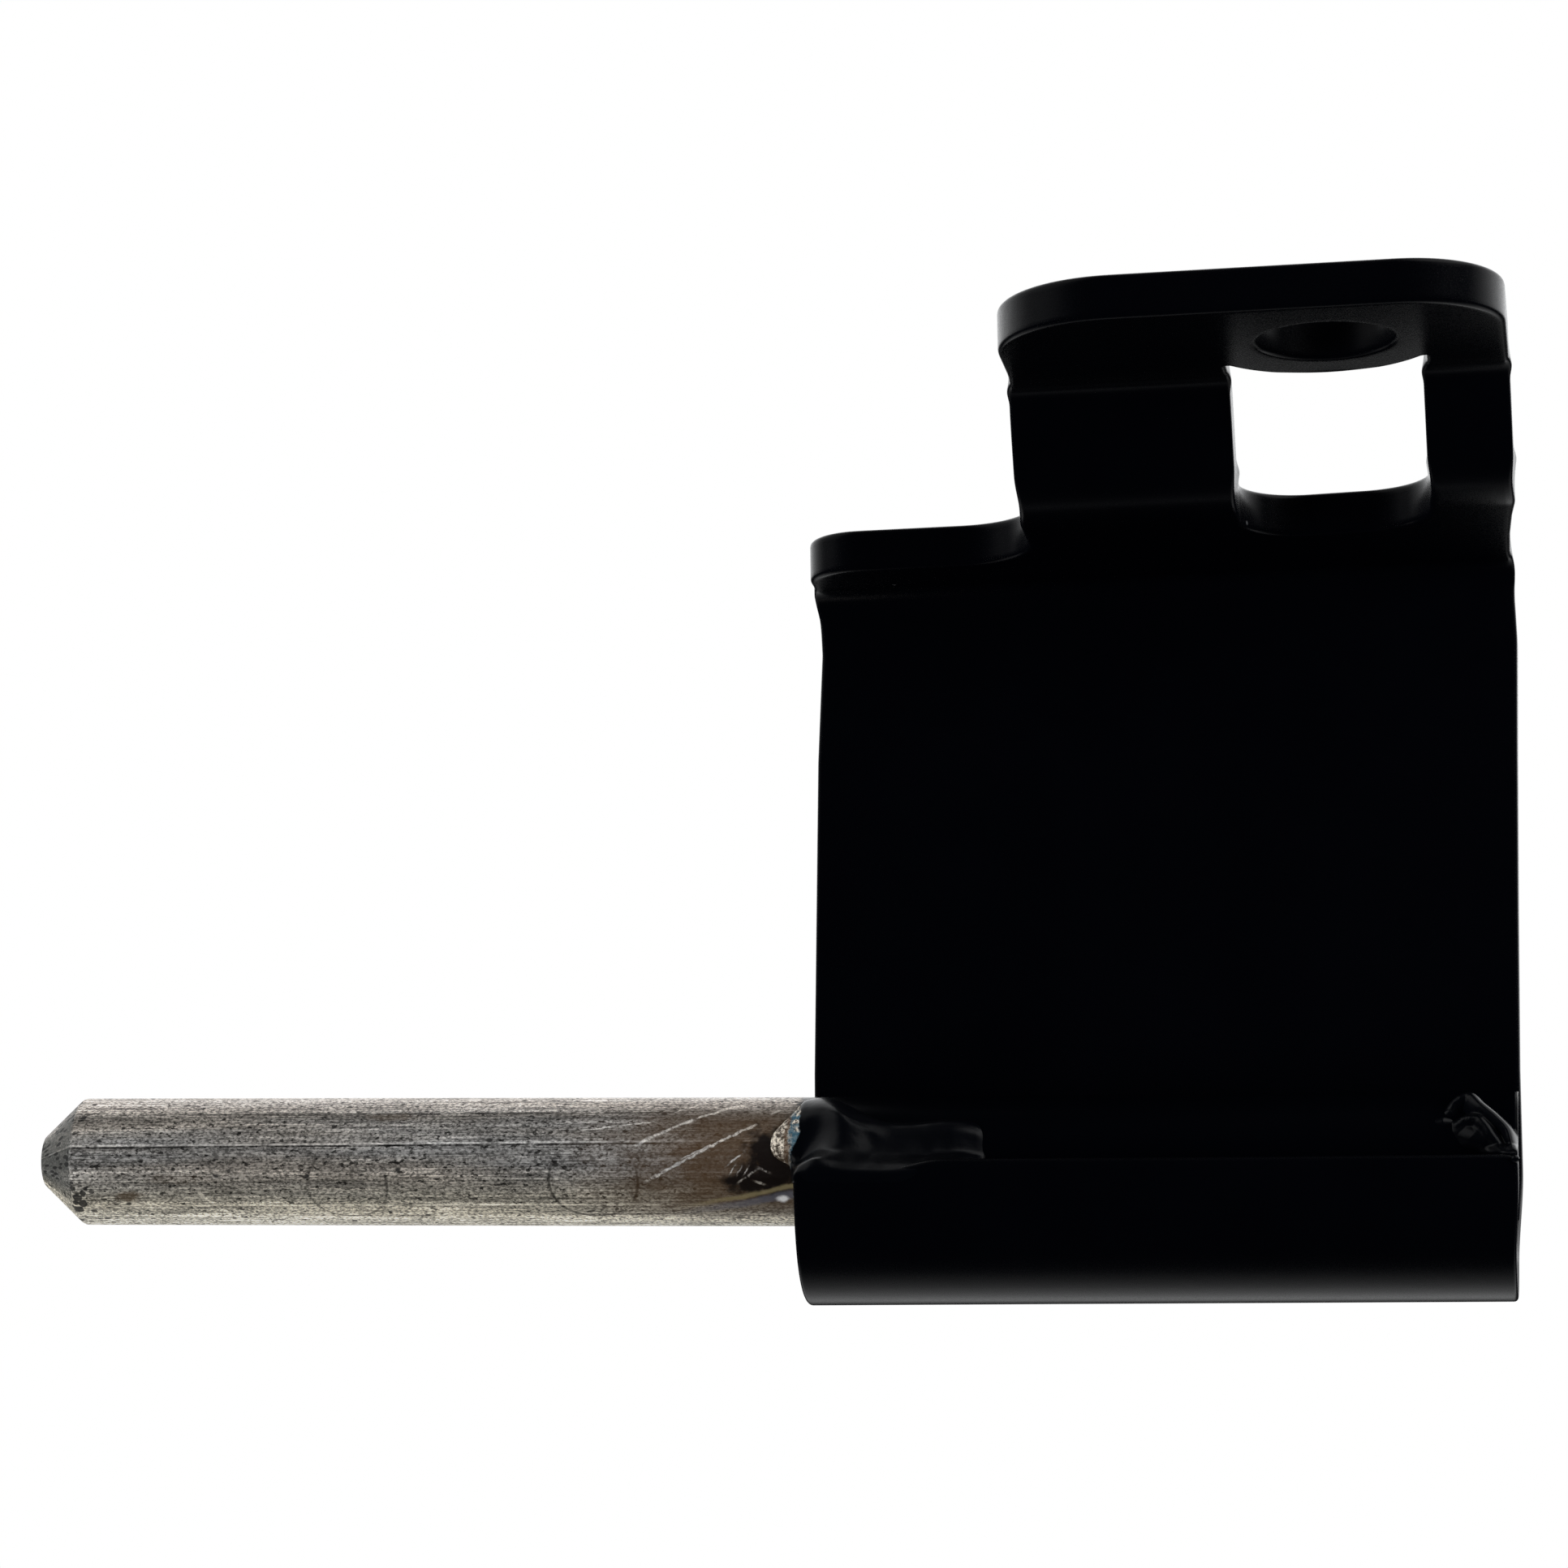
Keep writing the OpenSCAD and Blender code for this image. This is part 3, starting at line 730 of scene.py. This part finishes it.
class Nodes:
    """Short hand for building the nodes of a material or a world."""

    def __init__(self, owner, output):
        owner.use_nodes = True
        self.tree = owner.node_tree
        self.tree.nodes.clear()
        self.out = self.new(output)

    def new(self, kind):
        return self.tree.nodes.new("ShaderNode" + kind)

    def link(self, a, b):
        self.tree.links.new(a, b)

    def put(self, socket, value):
        if isinstance(value, bpy.types.NodeSocket):
            self.link(value, socket)
        else:
            socket.default_value = value

    def math(self, op, a, b=0.0, clamp=False):
        n = self.new("Math")
        n.operation = op
        n.use_clamp = clamp
        self.put(n.inputs[0], a)
        self.put(n.inputs[1], b)
        return n.outputs[0]

    def fold(self, op, values):
        """One value from several, worked out from the left."""
        total = values[0]
        for value in values[1:]:
            total = self.math(op, total, value)
        return total

    def mul(self, *values):
        return self.fold("MULTIPLY", values)

    def add(self, *values):
        return self.fold("ADD", values)

    def most(self, *values):
        return self.fold("MAXIMUM", values)

    def sub(self, a, b):
        return self.math("SUBTRACT", a, b)

    def apart(self, a, b):
        return self.math("ABSOLUTE", self.sub(a, b))

    def length(self, u, v):
        return self.math("SQRT", self.add(self.mul(u, u), self.mul(v, v)))

    def split(self, vector):
        n = self.new("SeparateXYZ")
        self.link(vector, n.inputs[0])
        return n.outputs[0], n.outputs[1], n.outputs[2]

    def join(self, x, y, z=0.0):
        n = self.new("CombineXYZ")
        for socket, value in zip(n.inputs, (x, y, z)):
            self.put(socket, value)
        return n.outputs[0]

    def noise(self, vector, scale, detail=2.0, rough=0.5):
        n = self.new("TexNoise")
        self.link(vector, n.inputs["Vector"])
        for key, value in (("Scale", scale), ("Detail", detail), ("Roughness", rough)):
            n.inputs[key].default_value = value
        return n.outputs["Fac"]

    def swing(self, vector, scale, detail, size, rough=0.5):
        """Noise around 0, by up to half of size to each side."""
        return self.mul(self.sub(self.noise(vector, scale, detail, rough), 0.5), size)

    def cells(self, vector, scale):
        n = self.new("TexVoronoi")
        self.link(vector, n.inputs["Vector"])
        n.inputs["Scale"].default_value = scale
        return n.outputs["Distance"], n.outputs["Color"]

    def span(self, value, lo, hi, out_lo=0.0, out_hi=1.0):
        """Goes smoothly from out_lo to out_hi as the value goes from lo to hi."""
        n = self.new("MapRange")
        n.interpolation_type = "SMOOTHSTEP"
        self.put(n.inputs["Value"], value)
        for key, v in (("From Min", lo), ("From Max", hi), ("To Min", out_lo), ("To Max", out_hi)):
            n.inputs[key].default_value = v
        return n.outputs[0]

    def mix(self, fac, a, b, mode="MIX"):
        n = self.new("Mix")
        n.data_type = "RGBA"
        n.blend_type = mode
        self.put(n.inputs[0], fac)
        for socket, value in ((n.inputs[6], a), (n.inputs[7], b)):
            self.put(socket, (*value, 1.0) if isinstance(value, tuple) else value)
        return n.outputs[2]

    def grey(self, value):
        n = self.new("CombineColor")
        for socket in n.inputs:
            self.put(socket, value)
        return n.outputs[0]

    def curve(self, value, stops, tint=(1.0, 1.0, 1.0)):
        """Tinted grey read off a smooth curve through (value, grey) pairs."""
        lo, hi = stops[0][0], stops[-1][0]
        n = self.new("MapRange")
        self.put(n.inputs["Value"], value)
        n.inputs["From Min"].default_value = lo
        n.inputs["From Max"].default_value = hi
        ramp = self.new("ValToRGB")
        ramp.color_ramp.interpolation = "EASE"
        for _ in stops[2:]:
            ramp.color_ramp.elements.new(0.5)
        for element, (at, _) in zip(ramp.color_ramp.elements, stops):
            element.position = (at - lo) / (hi - lo)
        for element, (_, grey) in zip(ramp.color_ramp.elements, stops):
            element.color = (*(grey * share for share in tint), 1)
        self.link(n.outputs[0], ramp.inputs[0])
        return ramp.outputs[0]


class Look(Nodes):
    """A material of one Principled shader."""

    def __init__(self, name):
        self.mat = bpy.data.materials.new(name)
        super().__init__(self.mat, "OutputMaterial")
        self.shader = self.new("BsdfPrincipled")
        self.link(self.shader.outputs[0], self.out.inputs[0])

    def place(self):
        """The point in millimetres from the eye's left end on the pin's axis."""
        n = self.new("VectorMath")
        n.operation = "MULTIPLY_ADD"
        self.link(self.new("TexCoord").outputs["Object"], n.inputs[0])
        n.inputs[1].default_value = (1 / MM, 1 / MM, 1 / MM)
        n.inputs[2].default_value = (-EYE_X, 0, 0)
        return n.outputs[0]

    def bump(self, height, strength, distance, normal=None):
        n = self.new("Bump")
        n.inputs["Strength"].default_value = strength
        n.inputs["Distance"].default_value = distance * MM
        self.put(n.inputs["Height"], height)
        if normal is not None:
            self.link(normal, n.inputs["Normal"])
        return n.outputs[0]

    def set(self, **values):
        for key, value in values.items():
            self.put(self.shader.inputs[key.replace("_", " ")], value)


def black_coat():
    """Satin black powder coat: faint blue, soft orange peel, a few specks of dust."""
    m = Look("black_coat")
    p = m.place()
    x, y, z = m.split(p)
    peel = m.noise(p, 0.55, 3.0, 0.55)
    fine = m.noise(p, 4.5, 2.0, 0.5)
    base = m.mix(m.noise(p, 0.05, 3.0, 0.6), (0.0004, 0.0005, 0.0010), (0.0009, 0.0011, 0.0020))
    near, tint = m.cells(p, 0.085)
    speck = m.mul(m.span(near, 0.012, 0.03, 1.0, 0.0), m.span(m.split(tint)[0], 0.55, 0.6))
    m.set(Base_Color=m.mix(m.mul(speck, 0.16), base, (0.35, 0.36, 0.38)))
    m.set(Roughness=m.span(fine, 0.2, 0.8, COAT_ROUGH - 0.05, COAT_ROUGH + 0.06))

    # Painted shade: the flange's underside reflects less of the surround
    level = m.sub(m.mul(z, math.cos(SKEW)), m.mul(x, math.sin(SKEW)))
    under_z = FLANGE_H - SHEET_T
    painted_shade_under = m.mul(m.span(level, under_z + 0.45, under_z + 0.27), m.span(y, -36, -41))
    m.set(Specular_IOR_Level=m.sub(0.25, m.mul(painted_shade_under, 0.24)))
    m.set(Normal=m.bump(fine, 0.06, 0.03, m.bump(peel, 0.10, 0.12)))
    return m.mat


# Marks on the bar. X is in millimetres; round the bar a place is either in millimetres of arc above
# its front line or, for scratches, in degrees.
# Grey round the bar by millimetres of arc above its front: painted light and shade, lighter towards its top and
# bottom and darker across its front, with the die's bands in it
DIE_AND_LIGHT_BANDS = (
    (-25.1, 1.2), (-17.0, 1.3), (-12.5, 2.2), (-9.4, 2.0), (-7.4, 1.55), (-6.2, 1.30), (-5.2, 0.88),
    (-4.2, 0.70), (-3.4, 0.50), (-2.4, 0.80), (-1.6, 0.70), (-0.7, 0.46), (0.4, 0.50), (1.6, 0.56),
    (2.8, 0.78), (4.4, 0.72), (5.6, 0.75), (6.3, 1.55), (8.6, 1.65), (12.5, 1.70), (17.0, 1.2), (25.1, 1.2),
)
LIGHT_LINES = ((1.82, 0.17, 1.1, 3.0), (-6.5, 0.20, 1.0, 9.0), (-7.3, 0.10, 0.35, 27.0))
DARK_LINES = (
    (1.55, 0.14, 0.9, 41.0), (-2.95, 0.12, 0.55, 53.0), (6.15, 0.30, 0.65, 67.0), (-5.6, 0.10, 0.5, 71.0),
)
SCRATCHES = (
    (-20.0, 9.8, -6.7, 56.7, 0.30), (-18.7, -23, -5.1, 28.7, 0.27), (-7.2, -24.3, -4.9, -13.4, 0.22),
    (-8.5, -9.0, -6.4, 2.4, 0.17), (-15.6, 43.3, -11.3, 61, 0.14), (-14.0, -2.0, -8.8, 15, 0.14),
    (-27.0, 24, -18.0, 33, 0.12), (-76.0, -30, -70.9, -69, 0.25), (-8.1, -16, -7.4, -9, 0.14),
    (-7.2, -17, -6.6, -10, 0.14), (-6.4, -17, -5.7, -10, 0.14), (-4.6, -11.3, -3.2, -15.7, 0.24),
    (-5.1, -22.9, -3.8, -26.7, 0.28), (-3.2, 41, -2.3, 46, 0.30),
)
RING_MARKS = ((-25.3, -3.05, 5.6, 0.28, 0.75), (-56.6, -3.6, 5.1, 0.26, 0.55))
CORNER_PITS = (
    (-92.15, -2.9, 0.28), (-92.15, -3.7, 0.40), (-91.7, -5.1, 0.62), (-92.0, -5.9, 0.42), (-90.5, -3.75, 0.3),
    (-90.9, -4.45, 0.42), (-91.1, -6.1, 0.62), (-91.9, -7.2, 0.66), (-92.2, -10.0, 0.42),
)


class BarLook(Look):
    """Look of the bare bar on its unrolled surface: x runs along it, and a round it from its front."""

    def __init__(self, name):
        super().__init__(name)
        self.p = self.place()
        self.x, self.y, self.z = self.split(self.p)
        self.a = self.mul(self.math("ARCTAN2", self.z, self.mul(self.y, -1.0)), PIN_R)
        self.streak = self.noise(self.drawn(0.03), 3.2, 4.0, 0.7)
        self.dash = self.noise(self.drawn(0.55), 4.2, 2.0, 0.6)
        self.wobble = self.swing(self.p, 0.9, 3.0, 0.6)
        self.ragged = self.swing(self.p, 0.8, 3.0, 1.3)

    def drawn(self, share, shift=0.0):
        """The point with x scaled by share, so that noise there is drawn out along the bar."""
        return self.join(self.mul(self.x, share), self.y, self.add(self.z, shift))

    def unrolled(self, share):
        return self.join(self.mul(self.x, share), self.a)

    def away(self, x0, a0):
        return self.length(self.sub(self.x, x0), self.sub(self.a, a0))

    def hairline(self, at, width, bright, seed):
        """A broken line along the whole bar."""
        core = self.span(self.apart(self.a, at), width * 0.4, width, 1.0, 0.0)
        broken = self.span(self.noise(self.join(self.x, seed), 0.35, 3.0, 0.7), 0.36, 0.56)
        return self.mul(core, broken, bright)

    def scratch(self, x0, d0, x1, d1, width, seed):
        """A short straight line from (x0, d0) to (x1, d1), rough along its edges."""
        a0, a1 = math.radians(d0) * PIN_R, math.radians(d1) * PIN_R
        size = math.hypot(x1 - x0, a1 - a0)
        ux, ua = (x1 - x0) / size, (a1 - a0) / size
        px, pa = self.sub(self.x, x0), self.sub(self.a, a0)
        on = self.add(self.mul(px, ux), self.mul(pa, ua))
        off = self.sub(self.mul(px, ua), self.mul(pa, ux))
        off = self.math("ABSOLUTE", self.add(off, self.wobble))
        within = self.mul(self.span(on, -0.6, 0.6), self.span(on, size + 0.6, size - 0.6))
        edge = self.mul(self.span(off, width * 0.3, width, 1.0, 0.0), within)
        return self.mul(edge, self.span(self.noise(self.join(on, off, seed), 1.3, 3.0, 0.7), 0.30, 0.54))

    def ring(self, x0, a0, radius, width, strength):
        off = self.apart(self.away(x0, a0), radius)
        return self.mul(self.span(off, width * 0.2, width, 1.0, 0.0), strength)

    def spot(self, x0, a0, rx, ra):
        """A soft patch with a ragged edge."""
        ux, ua = self.mul(self.sub(self.x, x0), 1 / rx), self.mul(self.sub(self.a, a0), 1 / ra)
        return self.span(self.add(self.length(ux, ua), self.ragged), 0.42, 1.08, 1.0, 0.0)

    def tone(self):
        """Grey of the bar: painted light and shade round it, with the bands that the die left, then drawn
        lines, short dark grit and nicks.
        """
        shade = self.span(self.noise(self.drawn(0.012), 0.42, 3.0, 0.6), 0.25, 0.75, 0.30, 0.62)
        # Painted light and shade round the bar, with the die's bands
        bands = self.curve(self.add(self.a, self.swing(self.drawn(0.03), 0.5, 2.0, 1.6)), DIE_AND_LIGHT_BANDS)
        lines = self.noise(self.drawn(0.012, 90), 5.5, 3.0, 0.7)
        nick = self.noise(self.drawn(0.5, 40), 2.6, 2.0, 0.5)
        cloud = self.noise(self.drawn(0.5), 0.35, 3.0, 0.6)
        return self.mul(
            shade,
            bands,
            self.span(self.streak, 0.25, 0.75, 0.55, 1.45),
            self.span(lines, 0.36, 0.64, 0.64, 1.38),
            self.span(self.dash, 0.36, 0.64, 0.38, 1.42),
            self.span(nick, 0.35, 0.40, 0.15, 1.0),
            self.span(cloud, 0.3, 0.7, 0.82, 1.16),
        )

    def steel(self, marks):
        """Colour of the bar before rust, pits and heat: long lines, scratches, ring marks, warmer edges."""
        light = self.add(*[self.hairline(*line) for line in LIGHT_LINES])
        dark = self.add(*[self.hairline(*line) for line in DARK_LINES])
        broken = self.span(self.noise(self.p, 0.22, 2.0), 0.30, 0.5)
        rings = self.most(*[self.ring(*mark) for mark in RING_MARKS])
        dark = self.most(dark, self.mul(rings, broken, self.span(self.a, 1.5, -3.5, 0.25, 1.0)))
        tone = self.mul(self.tone(), self.sub(1.0, self.math("MINIMUM", dark, 0.85)))
        tone = self.add(tone, self.mul(self.add(light, marks), 0.42))
        warm = self.span(self.noise(self.drawn(0.06), 0.3, 2.0), 0.3, 0.7)
        cast = self.mix(warm, (0.98, 0.97, 0.95), (1.05, 0.96, 0.85))
        below = self.mul(self.span(self.a, -1.0, -6.0), self.span(self.a, -20, -13))
        cast = self.mix(self.mul(below, 0.7), cast, (1.08, 0.99, 0.77))
        above = self.mul(self.span(self.a, 5.0, 8.0), self.span(self.a, 20, 13))
        cast = self.mix(self.mul(above, 0.8), cast, (1.08, 0.97, 0.88))
        return self.mix(1.0, self.grey(tone), cast, "MULTIPLY")

    def pits(self):
        """Sparse pits on the bar, more of them on the chamfer, and a cluster at the chamfer's corner."""
        tip = self.span(self.x, -74, -92)
        near, tint = self.cells(self.unrolled(0.8), 0.75)
        often = self.span(self.add(self.split(tint)[0], self.mul(tip, 0.22)), 0.965, 0.975)
        sparse = self.mul(self.span(near, 0.14, 0.30, 1.0, 0.0), often)
        near, tint = self.cells(self.unrolled(0.8), 1.2)
        chamfer = self.mul(self.span(self.x, -92.0, -92.6, 0.0, 0.62), self.span(self.a, -7.0, 0.5, 0.3, 1.0))
        dense = self.span(self.add(self.split(tint)[1], chamfer), 0.9, 0.95)
        dense = self.mul(dense, self.span(near, 0.34, 0.46, 1.0, 0.0), tip)
        uneven = self.mul(self.noise(self.p, 1.6, 2.0), 0.5)
        cluster = [
            self.span(self.add(self.away(x0, a0), uneven), size + 0.17, size + 0.33, 1.0, 0.0)
            for x0, a0, size in CORNER_PITS
        ]
        return self.most(sparse, dense, *cluster)


def pin_steel():
    """Bare drawn bar, with heat stain by the weld and black coat inside the eye."""
    m = BarLook("pin_steel")
    marks = m.most(*[m.scratch(*ends, 3.7 * k) for k, ends in enumerate(SCRATCHES)])
    pits = m.pits()
    faint_rust = (m.mul(m.spot(-51.3, 5.6, 3.2, 0.9), 0.6), m.mul(m.spot(-78.5, -2.5, 5, 0.8), 0.35))
    rust = m.most(m.spot(-84.9, -5.0, 2.0, 1.2), *faint_rust)
    colour = m.mix(m.mul(rust, 0.75), m.steel(marks), (0.085, 0.055, 0.028))
    # The chamfer's own darker grey, with painted shade that makes it darker going up round the bar
    chamfer = m.mul(m.span(m.x, -92.1, -92.6), m.span(m.a, -8.0, -1.0, 0.25, 0.72))
    colour = m.mix(chamfer, colour, (0.085, 0.088, 0.082))
    colour = m.mix(m.mul(pits, 0.93), colour, (0.012, 0.012, 0.012))

    # Heat stain and soot towards the weld, scraped off where the scratches are
    kept = m.sub(1.0, m.mul(marks, 0.75))
    patch = m.noise(m.unrolled(0.6), 0.30, 4.0, 0.65)
    haze = m.span(m.add(m.x, m.mul(patch, 20)), -25, 1)
    haze = m.mul(haze, m.span(m.apart(m.a, -1.0), 11.0, 5.0), kept)
    colour = m.mix(m.mul(haze, 0.90), colour, (0.056, 0.032, 0.015))
    soot = m.most(m.spot(-2.6, -2.0, 6.4, 4.2), m.spot(-5.6, -3.3, 4.4, 2.0), m.spot(-3.7, 0.0, 3.2, 4.2))
    soot = m.mul(soot, kept)
    colour = m.mix(m.mul(soot, 0.96), colour, (0.005, 0.004, 0.004))

    # A slanting streak of blue and straw below the soot, and a bright splash on it
    slant = m.add(m.sub(m.a, m.sub(m.mul(m.x, 0.21), 5.0)), m.mul(m.sub(patch, 0.5), 1.2))
    near_weld = m.span(m.x, -17, -5)
    blue = m.mul(m.span(m.math("ABSOLUTE", slant), 0.85, 0.2), near_weld)
    colour = m.mix(m.mul(blue, 0.5), colour, (0.13, 0.14, 0.18))
    straw = m.mul(m.span(m.apart(slant, 1.1), 0.5, 0.1), near_weld)
    colour = m.mix(m.mul(straw, 0.55), colour, (0.30, 0.25, 0.13))
    colour = m.mix(m.spot(-1.7, -5.7, 1.0, 0.6), colour, (0.75, 0.75, 0.75))

    # Coat inside the eye
    coat = m.span(m.add(m.x, m.swing(m.p, 0.7, 3.0, 1.6)), -0.5, 0.3)
    m.set(Base_Color=m.mix(coat, colour, (0.0006, 0.0008, 0.0015)))
    # Painted shade: the coat inside the eye reflects less than the coat elsewhere, and nothing towards the
    # pin's inner end
    m.set(Specular_IOR_Level=m.mul(m.span(m.x, 1.0, 6.0, 0.25, 0.06), m.span(m.x, 70, 83, 1.0, 0.0)))
    bare = m.sub(1.0, coat)
    clean = m.math("SUBTRACT", 1.0, m.most(soot, m.most(pits, haze)), clamp=True)
    m.set(Metallic=m.mul(bare, clean, 0.45))
    rough = m.grey(m.span(m.streak, 0.3, 0.7, 0.42, 0.58))
    m.set(Roughness=m.mix(coat, rough, (COAT_ROUGH, COAT_ROUGH, COAT_ROUGH)))
    height = m.sub(m.add(m.mul(m.dash, 0.5), m.mul(m.streak, 0.5)), m.mul(pits, 1.2))
    height = m.add(height, m.mul(marks, 0.4))
    m.set(Normal=m.bump(m.mul(height, bare), 0.55, 0.09))
    return m.mat


def weld_coat():
    """Black coat over the bead; the toe that stands outside the eye is bare, with a blue rim."""
    m = Look("weld_coat")
    p = m.place()
    x, _, z = m.split(p)
    grain = m.noise(p, 2.2, 4.0, 0.7)
    ragged = m.add(x, m.swing(p, 1.0, 3.0, 1.3, 0.6))
    bare = m.span(m.add(ragged, m.span(z, 2.6, 0.6, -0.55, 0.35)), 0.05, -0.2)
    toe = m.mix(m.span(grain, 0.36, 0.6), (0.16, 0.125, 0.09), (0.80, 0.73, 0.62))
    toe = m.mix(m.mul(m.span(grain, 0.45, 0.52, 1.0, 0.0), 0.85), toe, (0.03, 0.022, 0.015))
    seam = m.span(m.apart(ragged, -0.85), 0.45, 0.15)
    toe = m.mix(m.mul(seam, 0.8), toe, (0.07, 0.035, 0.015))
    rim = m.mul(m.span(ragged, -0.75, -0.35), m.span(m.noise(p, 0.8, 3.0), 0.36, 0.5), m.span(z, 6.0, 4.6))
    toe = m.mix(m.mul(rim, 0.9), toe, (0.035, 0.11, 0.16))
    toe = m.mix(m.mul(m.span(z, 0.8, -0.8), 0.7), toe, (0.03, 0.02, 0.012))
    coat = m.mix(m.noise(p, 0.12, 2.0), (0.0006, 0.0008, 0.0014), (0.0012, 0.0015, 0.0026))
    m.set(Base_Color=m.mix(bare, coat, toe), Specular_IOR_Level=0.40)
    m.set(Roughness=m.mix(bare, (0.29, 0.29, 0.29), (0.6, 0.6, 0.6)))
    soft = m.bump(m.noise(p, 0.9, 3.0, 0.6), 0.18, 0.15)
    m.set(Normal=m.bump(m.mul(grain, bare), 0.9, 0.35, soft))
    return m.mat


def pale_floor():
    """An evenly lit pale floor, well below the object."""
    m = Look("pale_floor")
    tone = m.mix(m.noise(m.place(), 0.002, 2.0), (0.84, 0.84, 0.84), (0.87, 0.87, 0.87))
    m.set(Base_Color=(0.02, 0.02, 0.02, 1.0), Roughness=0.9, Specular_IOR_Level=0.0)
    m.set(Emission_Color=tone, Emission_Strength=1.0)
    return m.mat


# The surround's brightness from the camera's side (-1) to behind the object (1), its share from below
# (-1) to above (1), and two soft lamps above the camera, right and left, that the welds catch
BACK_LIGHT = (
    (-1.0, 0.0), (-0.4, 0.001), (-0.14, 0.015), (0.0, 0.09), (0.14, 0.36), (0.36, 0.7), (0.6, 1.2),
    (0.9, 1.6), (1.0, 1.6),
)
BY_HEIGHT = ((-1.0, 0.62), (-0.52, 0.66), (-0.3, 0.004), (0.02, 0.004), (0.26, 1.0), (1.0, 1.0))
LAMPS = (((0.54, -0.30, 0.79), 1.0), ((-0.74, -0.25, 0.62), 0.45))


def studio():
    """A white surround behind, above and below the object, and a dark room on the camera's side."""
    world = bpy.data.worlds.new("studio")
    bpy.context.scene.world = world
    m = Nodes(world, "OutputWorld")
    sky = m.new("TexCoord").outputs["Generated"]
    _, back, up = m.split(sky)
    light = m.new("Background")
    m.link(m.curve(back, BACK_LIGHT, (0.98, 0.99, 1.0)), light.inputs[0])
    m.link(m.curve(up, BY_HEIGHT), light.inputs[1])
    for toward, strength in LAMPS:
        aim = m.new("VectorMath")
        aim.operation = "DOT_PRODUCT"
        aim.inputs[1].default_value = toward
        m.link(sky, aim.inputs[0])
        lamp = m.new("Background")
        m.link(m.span(aim.outputs["Value"], 0.84, 0.95, 0.0, strength), lamp.inputs[1])
        both = m.new("AddShader")
        m.link(light.outputs[0], both.inputs[0])
        m.link(lamp.outputs[0], both.inputs[1])
        light = both

    # Behind the object itself the surround is plain white
    plain = m.new("Background")
    plain.inputs[0].default_value = (1, 1, 1, 1)
    either = m.new("MixShader")
    m.link(m.new("LightPath").outputs["Is Camera Ray"], either.inputs[0])
    m.link(light.outputs[0], either.inputs[1])
    m.link(plain.outputs[0], either.inputs[2])
    m.link(either.outputs[0], m.out.inputs[0])


def soft_box(name, place, target, power):
    """A square lamp that lights the object but doesn't show in it."""
    light = bpy.data.lights.new(name, "AREA")
    light.size = BOX_SIZE
    light.energy = power
    obj = bpy.data.objects.new(name, light)
    obj.location = place
    obj.rotation_euler = (Vector(target) - Vector(place)).to_track_quat("-Z", "Y").to_euler()
    obj.visible_camera = False
    obj.visible_glossy = False
    bpy.context.scene.collection.objects.link(obj)


def camera():
    """The photograph's view: from the front, a little to the right and from below."""
    cam = bpy.data.cameras.new("camera")
    cam.sensor_width = CAMERA_SENSOR
    cam.lens = CAMERA_LENS
    cam.clip_end = 50
    obj = bpy.data.objects.new("camera", cam)
    bpy.context.scene.collection.objects.link(obj)
    aim = Euler((math.pi / 2 + CAMERA_PITCH, 0, CAMERA_YAW)).to_matrix().to_4x4()
    aim = aim @ Matrix.Rotation(CAMERA_ROLL, 4, "Z")
    obj.matrix_world = Matrix.Translation(Vector(CAMERA_PLACE) * MM) @ aim
    bpy.context.scene.camera = obj


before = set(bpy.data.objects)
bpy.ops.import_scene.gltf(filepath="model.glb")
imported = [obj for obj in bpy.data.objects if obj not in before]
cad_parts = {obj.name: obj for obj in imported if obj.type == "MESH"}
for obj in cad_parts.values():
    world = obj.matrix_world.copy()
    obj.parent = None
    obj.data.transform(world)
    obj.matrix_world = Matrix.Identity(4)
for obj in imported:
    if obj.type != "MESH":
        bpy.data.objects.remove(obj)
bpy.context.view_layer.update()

sheet = formed_sheet("bracket_sheet")
sheet.data.materials.append(black_coat())
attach(sheet, "root")
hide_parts("bracket_plate")

pin = turned("steel_pin", pin_profile())
pin.data.materials.append(pin_steel())
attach(pin, "root")
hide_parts("hinge_pin")

weld_paint = weld_coat()
bead_left = lofted("bead_left", LEFT_BEAD)
bead_left.data.materials.append(weld_paint)
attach(bead_left, "root")
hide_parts("weld_left")

bead_right = right_weld("bead_right")
bead_right.data.materials.append(weld_paint)
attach(bead_right, "root")
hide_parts("weld_right")

spatter = mesh_object("spatter", *ball(SPATTER_PLACE, SPATTER_R))
spatter.data.materials.append(weld_paint)
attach(spatter, "root")

studio()
soft_box("box_left", (-0.95, -0.5, -0.20), (-0.02, 0, 0), 15.5)
soft_box("box_right", (1.1, -0.55, 0.15), (0.02, 0, 0), 16)
floor_place = [(x, y, FLOOR_Z) for x, y in arc(0, 0, FLOOR_R, 0, 2 * math.pi, FLOOR_SIDES)[:-1]]
floor = mesh_object("floor", floor_place, [tuple(range(FLOOR_SIDES))], False)
floor.data.materials.append(pale_floor())
floor.visible_glossy = False
floor.visible_diffuse = False
floor.visible_transmission = False
floor.visible_shadow = False

camera()
view = bpy.context.scene.view_settings
view.view_transform = "Standard"
view.look = "None"
view.exposure = 0.0
